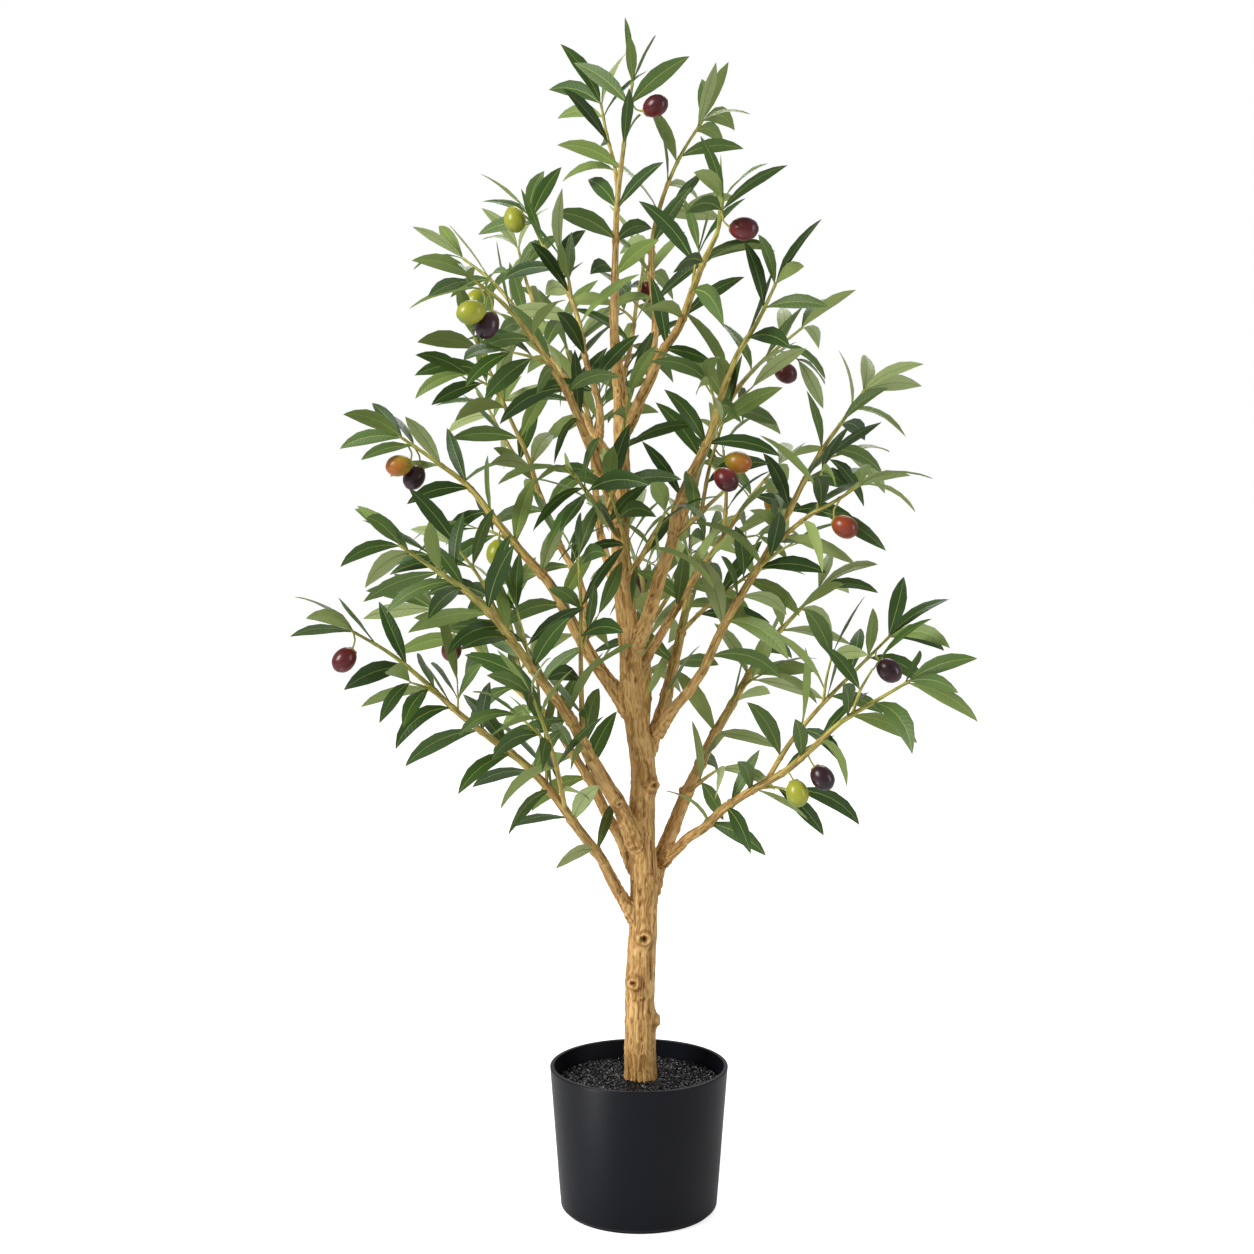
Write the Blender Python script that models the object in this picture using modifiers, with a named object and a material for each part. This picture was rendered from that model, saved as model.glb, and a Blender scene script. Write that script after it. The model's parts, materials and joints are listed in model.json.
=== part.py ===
# Artificial olive tree, 1.2 m tall, in a plain black plastic pot topped with black granules.
# Metres, +Z up. The origin is the middle of the pot's flat underside, and the shown side faces -Y.

import math
import random
from collections import namedtuple

import bmesh
import bpy
from mathutils import Matrix, Quaternion, Vector
from mathutils.bvhtree import BVHTree

# Driving dimensions
TREE_NAME = "potted_olive_tree"
GAP = 0.0003
POT_HEIGHT = 0.150
POT_TOP_RADIUS = 0.0905
POT_FOOT_RADIUS = 0.0795
POT_WALL = 0.0032
POT_FLOOR = 0.0035
POT_EDGE_RADIUS = 0.006
POT_SIDES = 36
FILL_TOP = 0.1365
FILL_DIP = 0.0035
FILL_FLAT_RADIUS = 0.024

LEAF_LENGTH = 0.078
LEAF_WIDTH_RATIO = 0.265
LEAF_THICKNESS_RATIO = 0.026
LEAF_WIDEST = 0.46
OLIVE_LENGTH = 0.026
OLIVE_WIDTH = 0.0215
OLIVE_STALK = 0.017
STALK_RADIUS = 0.0011

# How limbs and shoots wander, taper and are divided
TRUNK_STEPS = 20
TRUNK_SIDES = 12
TRUNK_FOOT_STEP = 0.003
BOUGH_STEP = 0.034
BOUGH_SIDES = 8
BOUGH_WANDER = 0.012
BOUGH_TAPER = 0.8
COLLAR_SWELL = 0.22
COLLAR_FADE = 0.012
ROOT_SHARE = 0.62
SHOOT_STEP = 0.042
SHOOT_WANDER = 0.014
SHOOT_TAPER = 0.9
SHOOT_TIP_RADIUS = 0.0013
SHOOT_LEAD = 0.004
STOUT_SHOOT = 0.0040

# How leaves are dealt out along a shoot; angles in degrees
LEAF_STEP = 0.033
LEAF_FAN = 38.0
FAN_JITTER = 16.0
OPENING_AT_FOOT = 50.0
OPENING_LOSS = 16.0
OPENING_JITTER = 8.0
BEND_LEAST = 12.0
BEND_MOST = 62.0
BEND_DRAW = (0.35, 1.15)
DROOP_ASIDE = 0.45
LEAF_ROLL = 48.0
LENGTH_DRAW = (0.86, 1.12)
WIDTH_DRAW = (0.92, 1.08)
ROOT_SUNK = 0.6
PAIR_SHIFT = 0.004
STEP_DRAW = (0.85, 1.2)
TIP_SHRINK = 0.22
TUFT_PLACE = 0.985
TUFT_SIZE = 0.92
TUFT_OPENINGS = (13.0, 22.0)
SHOOT_TUFT = 4
TWIGLET_TUFT = 3
LEAF_DRAWS = 7
DRAW_SHRINK = 0.03
BARE_STEM = 0.016
BARE_FORK = 0.030
BARE_TWIGLET = 0.020
BARE_TIP = 0.010
GUARD_PARTS = (0.16, 0.46, 0.78, 1.02)
GUARD_WIDTHS = (0.45, 1.0, 0.72, 0.1)
GUARD_MARGIN = 0.0011

TWIGLET_EVERY = 0.135
TWIGLET_LAST = 0.86
TWIGLET_LENGTH = 0.042
TWIGLET_DRAW = (0.8, 1.3)
TWIGLET_OPENING = 0.62
TWIGLET_ALONG = 0.78
TWIGLET_LIFT = 0.12
TWIGLET_RADIUS = 0.0019
TWIGLET_TIP_RADIUS = 0.0010

UP = Vector((0.0, 0.0, 1.0))

# The trunk at rising heights: height, offset from the pot's axis to the right and back, radius
TRUNK = (
    (0.1368, 0.0015, 0.000, 0.0164),
    (0.2250, 0.0010, 0.002, 0.0149),
    (0.3300, 0.0052, 0.000, 0.0136),
    (0.3950, 0.0030, -0.003, 0.0129),
    (0.4630, 0.0035, -0.002, 0.0121),
    (0.5110, -0.0050, 0.001, 0.0109),
    (0.5800, -0.0102, 0.004, 0.0102),
    (0.6730, -0.0185, 0.002, 0.0092),
    (0.7480, -0.0172, -0.002, 0.0080),
    (0.8230, -0.0185, 0.000, 0.0072),
    (0.8870, -0.0245, 0.002, 0.0046),
    (0.9300, -0.0245, 0.003, 0.0040),
)

# Knots on the trunk: height, heading in degrees, radius
KNOTS = (
    (0.196, 350.0, 0.0070),
    (0.238, 245.0, 0.0075),
    (0.284, 275.0, 0.0060),
    (0.440, 340.0, 0.0060),
)

# A limb leaves its parent at a fraction of the parent's length. Its tip lies at the reach along the
# heading (0 is right, 90 is back) and at the rise above its foot. Its middle is lifted by the bow and
# moved sideways by the sway.
Limb = namedtuple("Limb", "name parent at heading reach rise bow sway foot_radius tip_radius")
BOUGHS = (
    Limb("bough_low_left", "trunk", 0.189, 206, 0.044, 0.076, -0.001, 0.000, 0.0066, 0.0055),
    Limb("bough_low_right", "trunk", 0.224, 45, 0.075, 0.123, 0.003, 0.000, 0.0092, 0.0061),
    Limb("bough_low_right_outer", "bough_low_right", 0.284, 315, 0.060, 0.047, 0.002, 0.0, 0.0056, 0.0049),
    Limb("bough_mid_left", "trunk", 0.289, 223, 0.071, 0.108, 0.002, 0.000, 0.0090, 0.0066),
    Limb("bough_left", "trunk", 0.460, 162, 0.070, 0.102, -0.002, 0.000, 0.0078, 0.0058),
    Limb("bough_left_upright", "bough_left", 0.767, 101, 0.026, 0.061, 0.001, -0.003, 0.0042, 0.0038),
    Limb("bough_high_left", "trunk", 0.701, 244, 0.077, 0.098, 0.002, 0.001, 0.0056, 0.0045),
    Limb("bough_high_left_upright", "bough_high_left", 0.766, 58, 0.008, 0.05, -0.001, -0.003, 0.0038, 0.0035),
    Limb("bough_back_left", "trunk", 0.588, 112, 0.071, 0.081, 0.000, 0.001, 0.0052, 0.0043),
    Limb("bough_mid_right", "trunk", 0.406, 49, 0.032, 0.054, 0.000, -0.001, 0.0076, 0.0065),
    Limb("bough_right", "bough_mid_right", 0.422, 337, 0.053, 0.071, 0.000, 0.000, 0.0056, 0.0049),
    Limb("bough_high_right", "trunk", 0.546, 317, 0.061, 0.143, -0.005, 0.004, 0.0072, 0.0053),
    Limb("bough_high_right_back", "bough_high_right", 0.597, 62, 0.064, 0.071, 0.000, 0.0, 0.0045, 0.0040),
    Limb("bough_top_right", "trunk", 0.821, 304, 0.064, 0.075, -0.002, 0.001, 0.0056, 0.0047),
    Limb("bough_top_right_back", "bough_top_right", 0.745, 82, 0.038, 0.061, 0.001, -0.001, 0.0039, 0.0036),
    Limb("bough_back_low", "trunk", 0.345, 87, 0.070, 0.089, 0.000, 0.002, 0.0066, 0.0054),
    Limb("bough_back_low_left", "trunk", 0.255, 141, 0.063, 0.085, -0.002, 0.000, 0.0062, 0.0051),
    Limb("bough_back_right", "trunk", 0.500, 55, 0.067, 0.066, 0.003, 0.000, 0.0050, 0.0043),
    Limb("bough_back_high", "trunk", 0.765, 142, 0.051, 0.064, 0.001, 0.001, 0.0046, 0.0040),
)

# The shoots of each mass of foliage. The first is its stem, which starts where the row says on a bough
# or on the trunk; the others leave the stem. Turn twists the fans of leaves about their shoots.
Shoot = namedtuple("Shoot", "parent at heading reach rise bow sway foot_radius")
Spray = namedtuple("Spray", "name limb at turn seed shoots")
SPRAYS = (
    Spray("spray_low_left", "bough_low_left", 1.0, 0, 11, (
        Shoot(None, 0, 200, 0.254, 0.243, 0.017, 0.001, 0.0053),
        Shoot(0, 0.19, 252, 0.096, 0.130, 0.003, 0.003, 0.0028),
    )),
    Spray("spray_low_right_inner", "bough_low_right", 1.0, 0, 12, (
        Shoot(None, 0, 33, 0.160, 0.186, 0.010, 0.006, 0.0059),
    )),
    Spray("spray_low_right_twig", "bough_low_right", 0.865, 40, 13, (
        Shoot(None, 0, 295, 0.066, 0.034, 0.003, 0.002, 0.0026),
    )),
    Spray("spray_low_right_outer", "bough_low_right_outer", 1.0, 0, 14, (
        Shoot(None, 0, 321, 0.242, 0.171, 0.002, -0.007, 0.0048),
        Shoot(0, 0.34, 344, 0.119, 0.146, 0.007, -0.001, 0.0028),
    )),
    Spray("spray_mid_left", "bough_mid_left", 1.0, 0, 15, (
        Shoot(None, 0, 215, 0.212, 0.218, 0.020, 0.002, 0.0064),
        Shoot(0, 0.44, 171, 0.063, 0.103, 0.002, 0.000, 0.0024),
        Shoot(0, 0.06, 262, 0.022, 0.185, 0.003, 0.000, 0.0030),
    )),
    Spray("spray_left", "bough_left", 1.0, 0, 16, (
        Shoot(None, 0, 177, 0.170, 0.182, 0.014, -0.006, 0.0056),
    )),
    Spray("spray_upper_left", "bough_left_upright", 1.0, 0, 17, (
        Shoot(None, 0, 129, 0.160, 0.177, 0.009, 0.005, 0.0037),
        Shoot(0, 0.43, 200, 0.070, 0.163, 0.003, 0.001, 0.0026),
    )),
    Spray("spray_high_left", "bough_high_left", 1.0, 20, 18, (
        Shoot(None, 0, 233, 0.163, 0.141, 0.015, 0.003, 0.0043),
    )),
    Spray("spray_high_left_upright", "bough_high_left_upright", 1.0, 0, 19, (
        Shoot(None, 0, 129, 0.114, 0.190, 0.017, 0.005, 0.0034),
    )),
    Spray("spray_back_left", "bough_back_left", 1.0, 0, 20, (
        Shoot(None, 0, 104, 0.200, 0.225, 0.006, -0.007, 0.0042),
        Shoot(0, 0.55, 150, 0.069, 0.070, 0.003, 0.000, 0.0022),
    )),
    Spray("spray_front_left", "trunk", 0.691, 70, 21, (
        Shoot(None, 0, 247, 0.131, 0.078, 0.004, -0.002, 0.0030),
        Shoot(0, 0.30, 322, 0.030, 0.118, 0.002, 0.010, 0.0024),
    )),
    Spray("spray_mid_right", "bough_mid_right", 1.0, 0, 22, (
        Shoot(None, 0, 78, 0.150, 0.165, 0.017, -0.011, 0.0063),
        Shoot(0, 0.37, 324, 0.085, 0.066, 0.003, 0.001, 0.0026),
    )),
    Spray("spray_right", "bough_right", 1.0, 0, 23, (
        Shoot(None, 0, 26, 0.187, 0.280, 0.025, -0.035, 0.0047),
        Shoot(0, 0.39, 306, 0.137, 0.073, 0.004, -0.001, 0.0028),
    )),
    Spray("spray_high_right", "bough_high_right", 1.0, 0, 24, (
        Shoot(None, 0, 316, 0.126, 0.219, 0.006, 0.002, 0.0052),
    )),
    Spray("spray_high_right_back", "bough_high_right_back", 1.0, 0, 25, (
        Shoot(None, 0, 53, 0.207, 0.174, 0.016, 0.013, 0.0039),
    )),
    Spray("spray_high_right_twig", "bough_high_right", 0.823, 0, 26, (
        Shoot(None, 0, 333, 0.070, 0.062, 0.002, 0.000, 0.0028),
        Shoot(0, 0.45, 350, 0.020, 0.085, 0.002, 0.002, 0.0022),
    )),
    Spray("spray_front_right", "trunk", 0.636, 70, 27, (
        Shoot(None, 0, 292, 0.108, 0.077, 0.003, 0.005, 0.0036),
        Shoot(0, 0.16, 240, 0.042, 0.080, 0.003, 0.000, 0.0024),
    )),
    Spray("spray_top_right", "bough_top_right", 1.0, 30, 28, (
        Shoot(None, 0, 292, 0.148, 0.140, 0.004, 0.011, 0.0045),
    )),
    Spray("spray_top_right_back", "bough_top_right_back", 1.0, 0, 29, (
        Shoot(None, 0, 63, 0.109, 0.201, 0.002, 0.024, 0.0035),
    )),
    Spray("spray_top_back", "trunk", 0.875, 0, 30, (
        Shoot(None, 0, 81, 0.162, 0.148, 0.004, -0.004, 0.0028),
    )),
    Spray("spray_leader", "trunk", 1.0, 0, 31, (
        Shoot(None, 0, 48, 0.027, 0.204, 0.003, 0.003, 0.0036),
        Shoot(0, 0.43, 112, 0.045, 0.097, 0.002, -0.001, 0.0021),
    )),
    Spray("spray_back_low", "bough_back_low", 1.0, 0, 32, (
        Shoot(None, 0, 96, 0.192, 0.176, 0.008, -0.010, 0.0052),
        Shoot(0, 0.42, 52, 0.114, 0.095, 0.004, -0.004, 0.0028),
    )),
    Spray("spray_back_low_left", "bough_back_low_left", 1.0, 0, 33, (
        Shoot(None, 0, 156, 0.190, 0.180, 0.013, -0.001, 0.0049),
        Shoot(0, 0.46, 115, 0.081, 0.104, 0.003, -0.002, 0.0026),
    )),
    Spray("spray_back_right", "bough_back_right", 1.0, 0, 34, (
        Shoot(None, 0, 51, 0.193, 0.154, 0.012, -0.006, 0.0041),
        Shoot(0, 0.47, 88, 0.075, 0.090, 0.003, -0.003, 0.0024),
    )),
    Spray("spray_back_high", "bough_back_high", 1.0, 0, 35, (
        Shoot(None, 0, 145, 0.153, 0.161, 0.010, -0.008, 0.0039),
        Shoot(0, 0.43, 105, 0.087, 0.099, 0.003, -0.002, 0.0024),
    )),
)

# The olives: spray, shoot, fraction of its length, heading and dip of the stalk
Olive = namedtuple("Olive", "spray shoot at heading dip")
OLIVES = (
    Olive("spray_leader", 0, 0.72, 330, 40),
    Olive("spray_high_left_upright", 0, 0.98, 250, 55),
    Olive("spray_top_right", 0, 0.92, 330, 35),
    Olive("spray_high_left", 0, 0.86, 300, 60),
    Olive("spray_high_left", 0, 0.81, 190, 70),
    Olive("spray_high_right_back", 0, 0.87, 300, 55),
    Olive("spray_left", 0, 0.92, 260, 55),
    Olive("spray_left", 0, 0.87, 230, 70),
    Olive("spray_left", 0, 0.46, 250, 60),
    Olive("spray_high_right_twig", 0, 0.92, 350, 20),
    Olive("spray_high_right_twig", 0, 0.80, 290, 45),
    Olive("spray_right", 1, 0.90, 300, 55),
    Olive("spray_low_right_outer", 1, 0.92, 320, 50),
    Olive("spray_low_right_outer", 0, 0.44, 330, 55),
    Olive("spray_low_right_outer", 0, 0.52, 300, 60),
    Olive("spray_low_left", 0, 0.90, 200, 55),
    Olive("spray_back_low", 0, 0.81, 70, 50),
    Olive("spray_back_low_left", 0, 0.87, 120, 55),
    Olive("spray_back_right", 0, 0.84, 30, 50),
    Olive("spray_back_left", 0, 0.87, 150, 50),
    Olive("spray_back_high", 0, 0.83, 180, 50),
    Olive("spray_mid_right", 0, 0.87, 120, 55),
    Olive("spray_top_back", 0, 0.85, 60, 50),
)

# Colour, roughness and metallic value of each kind of material
FINISHES = {
    "pot_plastic": ((0.018, 0.018, 0.022), 0.42, 0.0),
    "granules": ((0.010, 0.010, 0.012), 0.35, 0.0),
    "bark": ((0.42, 0.26, 0.12), 0.80, 0.0),
    "foliage": ((0.075, 0.150, 0.060), 0.55, 0.0),
}

Leaf = namedtuple("Leaf", "root start fall bend face length width")
Obstacle = namedtuple("Obstacle", "owner centre reach tree")


def clear_scene():
    for thing in list(bpy.data.objects):
        bpy.data.objects.remove(thing, do_unlink=True)


def new_collection(name):
    collection = bpy.data.collections.new(name)
    bpy.context.scene.collection.children.link(collection)
    return collection


def add_object(name, mesh, collection):
    thing = bpy.data.objects.new(name, mesh)
    collection.objects.link(thing)
    return thing


def dress(thing, finish):
    """Gives a sub-part a material of its own, named like it."""
    colour, roughness, metallic = FINISHES[finish]
    material = bpy.data.materials.new(thing.name)
    material.use_nodes = True
    shader = material.node_tree.nodes["Principled BSDF"]
    shader.inputs["Base Color"].default_value = (*colour, 1.0)
    shader.inputs["Roughness"].default_value = roughness
    shader.inputs["Metallic"].default_value = metallic
    material.diffuse_color = (*colour, 1.0)
    thing.data.materials.clear()
    thing.data.materials.append(material)


def mesh_from(shape, name):
    mesh = bpy.data.meshes.new(name)
    shape.to_mesh(mesh)
    shape.free()
    return mesh


class Path:
    """A tapering centreline: points, a radius at each, and the distance run to each."""

    def __init__(self, points, radii=None):
        self.points = points
        self.radii = radii
        self.runs = [0.0]
        for near, far in zip(points, points[1:]):
            self.runs.append(self.runs[-1] + (far - near).length)
        self.length = self.runs[-1]

    def piece(self, fraction):
        run = min(max(fraction, 0.0), 1.0) * self.length
        index = 0
        while index < len(self.points) - 2 and self.runs[index + 1] < run:
            index += 1
        span = self.runs[index + 1] - self.runs[index]
        return index, (run - self.runs[index]) / span

    def point(self, fraction):
        index, part = self.piece(fraction)
        return self.points[index].lerp(self.points[index + 1], part)

    def tangent(self, fraction):
        index, part = self.piece(fraction)
        return (self.points[index + 1] - self.points[index]).normalized()

    def radius(self, fraction):
        index, part = self.piece(fraction)
        return self.radii[index] + (self.radii[index + 1] - self.radii[index]) * part


def smooth(stations, part):
    """A value on the Catmull-Rom curve through the middle two of four stations."""
    before, near, far, after = stations
    return 0.5 * (
        2.0 * near
        + (far - before) * part
        + (2.0 * before - 5.0 * near + 4.0 * far - after) * part ** 2
        + (3.0 * near - before - 3.0 * far + after) * part ** 3
    )


def trunk_path():
    """A smooth curve through the trunk's rows. Its first step is upright, so that its foot is flat."""
    rows = [TRUNK[0]] + list(TRUNK) + [TRUNK[-1]]
    points = []
    radii = []
    for step in range(TRUNK_STEPS + 1):
        height = TRUNK[0][0] + (TRUNK[-1][0] - TRUNK[0][0]) * step / TRUNK_STEPS
        index = 1
        while index < len(TRUNK) - 1 and TRUNK[index][0] < height:
            index += 1
        part = (height - TRUNK[index - 1][0]) / (TRUNK[index][0] - TRUNK[index - 1][0])
        near_rows = rows[index - 1:index + 3]
        right, back, radius = (smooth([row[field] for row in near_rows], part) for field in (1, 2, 3))
        points.append(Vector((right, back, height)))
        radii.append(radius)
    points.insert(1, points[0] + UP * TRUNK_FOOT_STEP)
    radii.insert(1, radii[0])
    return Path(points, radii)


def heading_vector(degrees):
    return Vector((math.cos(math.radians(degrees)), math.sin(math.radians(degrees)), 0.0))


def limb_points(foot, row, steps, wander):
    """The centreline of a limb or shoot from its foot, with a slight wander along it."""
    out = heading_vector(row.heading)
    side = UP.cross(out)
    chord = out * row.reach + UP * row.rise
    lift = chord.cross(side).normalized()
    points = []
    for step in range(steps + 1):
        part = step / steps
        belly = 4.0 * part * (1.0 - part)
        wave = wander * chord.length * math.sin(3.0 * math.pi * part + row.heading)
        offset = lift * (row.bow + wave) + side * (row.sway - 0.6 * wave)
        points.append(foot + chord * part + offset * belly)
    return points


def bough_path(row, parent):
    """A bough starts on its parent's axis, thin inside it and swollen where it comes out."""
    foot = parent.point(row.at)
    within = parent.radius(row.at)
    steps = max(4, round(math.hypot(row.reach, row.rise) / BOUGH_STEP))
    path = Path(limb_points(foot, row, steps, BOUGH_WANDER))
    path.radii = []
    for run in path.runs:
        left = (1.0 - run / path.length) ** BOUGH_TAPER
        taper = row.tip_radius + (row.foot_radius - row.tip_radius) * left
        collar = 1.0 + COLLAR_SWELL * math.exp(-max(0.0, run - 1.7 * within) / COLLAR_FADE)
        root = min(1.0, ROOT_SHARE + (1.0 - ROOT_SHARE) * run / (1.4 * within))
        path.radii.append(taper * collar * root)
    return path


def shoot_path(row, foot, lead=None, tip_radius=SHOOT_TIP_RADIUS):
    """A leafy shoot. Where it has a lead, its first few millimetres run straight on along that."""
    steps = max(2, round(math.hypot(row.reach, row.rise) / SHOOT_STEP))
    points = limb_points(foot, row, steps, SHOOT_WANDER)
    if lead:
        points.insert(1, foot + lead * SHOOT_LEAD)
    path = Path(points)
    spread = row.foot_radius - tip_radius
    path.radii = [tip_radius + spread * (1.0 - run / path.length) ** SHOOT_TAPER for run in path.runs]
    return path


def spray_paths(spray, limb):
    """The centrelines of a spray's shoots. A stem at a bough's tip starts a gap clear of it."""
    shoots = []
    for row in spray.shoots:
        if row.parent is not None:
            shoots.append(shoot_path(row, shoots[row.parent].point(row.at)))
        elif spray.at == 1.0:
            lead = limb.tangent(1.0)
            shoots.append(shoot_path(row, limb.points[-1] + lead * GAP, lead))
        else:
            shoots.append(shoot_path(row, limb.point(spray.at)))
    return shoots


def three_sided(name):
    """The outline of a three-sided twig, as a curve object of radius 1."""
    shape = bpy.data.curves.new(name, "CURVE")
    shape.dimensions = "2D"
    ring = shape.splines.new("POLY")
    ring.points.add(2)
    for corner, point in enumerate(ring.points):
        turn = 2.0 * math.pi * corner / 3.0
        point.co = (math.cos(turn), math.sin(turn), 0.0, 1.0)
    ring.use_cyclic_u = True
    outline = bpy.data.objects.new(name, shape)
    bpy.context.scene.collection.objects.link(outline)
    return outline


def tube_mesh(name, path, sides, extra=0.0):
    """A closed tube along a path: a poly curve with a bevel and filled caps, made a mesh and welded."""
    curve = bpy.data.curves.new(name, "CURVE")
    curve.dimensions = "3D"
    curve.twist_mode = "MINIMUM"
    curve.use_fill_caps = True
    outline = three_sided(name + "_section") if sides == 3 else None
    if outline:
        curve.bevel_mode = "OBJECT"
        curve.bevel_object = outline
    else:
        curve.bevel_depth = 1.0
        curve.bevel_resolution = (sides - 4) // 2
    spline = curve.splines.new("POLY")
    spline.points.add(len(path.points) - 1)
    for knot, point, radius in zip(spline.points, path.points, path.radii):
        knot.co = (*point, 1.0)
        knot.radius = radius + extra
    holder = bpy.data.objects.new(name, curve)
    bpy.context.scene.collection.objects.link(holder)
    graph = bpy.context.evaluated_depsgraph_get()
    mesh = bpy.data.meshes.new_from_object(holder.evaluated_get(graph))
    bpy.data.objects.remove(holder, do_unlink=True)
    if outline:
        bpy.data.objects.remove(outline, do_unlink=True)
    shape = bmesh.new()
    shape.from_mesh(mesh)
    bmesh.ops.remove_doubles(shape, verts=shape.verts, dist=0.00002)
    bmesh.ops.recalc_face_normals(shape, faces=shape.faces)
    shape.to_mesh(mesh)
    shape.free()
    return mesh


def apply_boolean(thing, operation, solver, other=None, group=None):
    cut = thing.modifiers.new(operation.title(), "BOOLEAN")
    cut.operation = operation
    cut.solver = solver
    if group:
        cut.operand_type = "COLLECTION"
        cut.collection = group
    else:
        cut.object = other
    graph = bpy.context.evaluated_depsgraph_get()
    mesh = bpy.data.meshes.new_from_object(thing.evaluated_get(graph))
    thing.modifiers.clear()
    thing.data = mesh


def keep_largest_body(mesh):
    """Fills the hollows that the union sealed and drops loose scraps: only the largest shell stays."""
    shape = bmesh.new()
    shape.from_mesh(mesh)
    left = set(shape.verts)
    shells = []
    while left:
        shell = set()
        edge = [left.pop()]
        while edge:
            corner = edge.pop()
            shell.add(corner)
            near = [link.other_vert(corner) for link in corner.link_edges]
            fresh = [other for other in near if other in left]
            left.difference_update(fresh)
            edge.extend(fresh)
        shells.append(shell)
    shells.sort(key=len)
    for shell in shells[:-1]:
        bmesh.ops.delete(shape, geom=list(shell), context="VERTS")
    shape.to_mesh(mesh)
    shape.free()


def join_all(name, meshes, home):
    """One body out of many overlapping closed meshes, by one union on a collection."""
    body = add_object(name, meshes[0], home)
    if len(meshes) == 1:
        return body
    group = new_collection(name + "_pieces")
    for index, mesh in enumerate(meshes[1:]):
        add_object("%s_piece_%d" % (name, index), mesh, group)
    apply_boolean(body, "UNION", "MANIFOLD", group=group)
    for piece in list(group.objects):
        bpy.data.objects.remove(piece, do_unlink=True)
    bpy.data.collections.remove(group)
    keep_largest_body(body.data)
    return body


def turned(name, outline, home):
    """A turned shape: a profile at +X, whose outer side runs from top to bottom, and a Screw modifier."""
    shape = bmesh.new()
    corners = [shape.verts.new((radius, 0.0, height)) for radius, height in outline]
    for near, far in zip(corners, corners[1:]):
        shape.edges.new((near, far))
    thing = add_object(name, mesh_from(shape, name), home)
    spin = thing.modifiers.new("Screw", "SCREW")
    spin.steps = POT_SIDES
    spin.render_steps = POT_SIDES
    spin.use_merge_vertices = True
    spin.merge_threshold = 0.0001
    spin.use_smooth_shade = True
    return thing


def arc(centre_radius, centre_height, radius, start, end, steps):
    """Points of a round edge in the profile's plane, from one angle to another."""
    points = []
    for step in range(steps + 1):
        turn = math.radians(start + (end - start) * step / steps)
        points.append((centre_radius + radius * math.cos(turn), centre_height + radius * math.sin(turn)))
    return points


def pot_slope():
    return (POT_TOP_RADIUS - POT_FOOT_RADIUS) / POT_HEIGHT


def make_pot(home):
    """An open shell with a rounded rim, a rounded lower edge and a flat underside."""
    half = POT_WALL / 2.0
    inner_foot = POT_FOOT_RADIUS - POT_WALL + pot_slope() * POT_FLOOR
    outline = [(0.0, POT_FLOOR), (inner_foot, POT_FLOOR)]
    outline += arc(POT_TOP_RADIUS - half, POT_HEIGHT - half, half, 180.0, 0.0, 4)
    edge = POT_FOOT_RADIUS + pot_slope() * POT_EDGE_RADIUS - POT_EDGE_RADIUS
    outline += arc(edge, POT_EDGE_RADIUS, POT_EDGE_RADIUS, 0.0, -90.0, 3)
    outline += [(0.0, 0.0)]
    return turned("pot", outline, home)


def make_fill(home):
    """The weighted filling, flat where the trunk stands and dipping a little towards the wall."""
    edge_height = FILL_TOP - FILL_DIP
    foot = POT_FLOOR + GAP
    at_top = POT_FOOT_RADIUS - POT_WALL + pot_slope() * edge_height - GAP
    at_foot = POT_FOOT_RADIUS - POT_WALL + pot_slope() * foot - GAP
    waist = (FILL_FLAT_RADIUS + at_top) / 2.0
    outline = [
        (0.0, FILL_TOP),
        (FILL_FLAT_RADIUS, FILL_TOP),
        (waist, FILL_TOP - 0.4 * FILL_DIP),
        (at_top, edge_height),
        (at_foot, foot),
        (0.0, foot),
    ]
    return turned("granule_fill", outline, home)


def knot_mesh(name, path, height, heading, radius, extra=0.0):
    """A low boss on the trunk: a squashed sphere that is half sunk in the bark."""
    fraction = (height - path.points[0].z) / (path.points[-1].z - path.points[0].z)
    out = heading_vector(heading)
    centre = path.point(fraction) + out * (path.radius(fraction) - 0.25 * radius)
    shape = bmesh.new()
    bmesh.ops.create_uvsphere(shape, u_segments=6, v_segments=4, radius=1.0)
    size = Matrix.Diagonal((0.62 * radius + extra, radius + extra, 1.25 * radius + extra, 1.0))
    place = Matrix.Translation(centre) @ Matrix.Rotation(math.radians(heading), 4, "Z")
    bmesh.ops.transform(shape, matrix=place @ size, verts=shape.verts)
    return mesh_from(shape, name)


def trunk_meshes(name, path, extra=0.0):
    meshes = [tube_mesh(name, path, TRUNK_SIDES, extra)]
    for height, heading, radius in KNOTS:
        meshes.append(knot_mesh(name + "_knot", path, height, heading, radius, extra))
    return meshes


def fat_copy(name, path, cutters):
    """A cutter a gap wider than a limb, which leaves its neighbour that much clear of it."""
    if name == "trunk":
        meshes = trunk_meshes("trunk_cutter", path, GAP)
    else:
        meshes = [tube_mesh(name + "_cutter", path, BOUGH_SIDES, GAP)]
    cutter = join_all(name + "_cutter", meshes, cutters)
    cutter.hide_render = True
    cutter.display_type = "WIRE"
    return cutter


def leaf_frame(leaf, part):
    """Point, direction, width direction and normal of the leaf's midrib at a fraction of its length."""
    bend = leaf.bend * part
    arm = leaf.length / leaf.bend
    point = leaf.root + leaf.start * (arm * math.sin(bend)) + leaf.fall * (arm * (1.0 - math.cos(bend)))
    along = leaf.start * math.cos(bend) + leaf.fall * math.sin(bend)
    across = along.cross(leaf.face).normalized()
    return point, along, across, along.cross(across)


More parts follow.
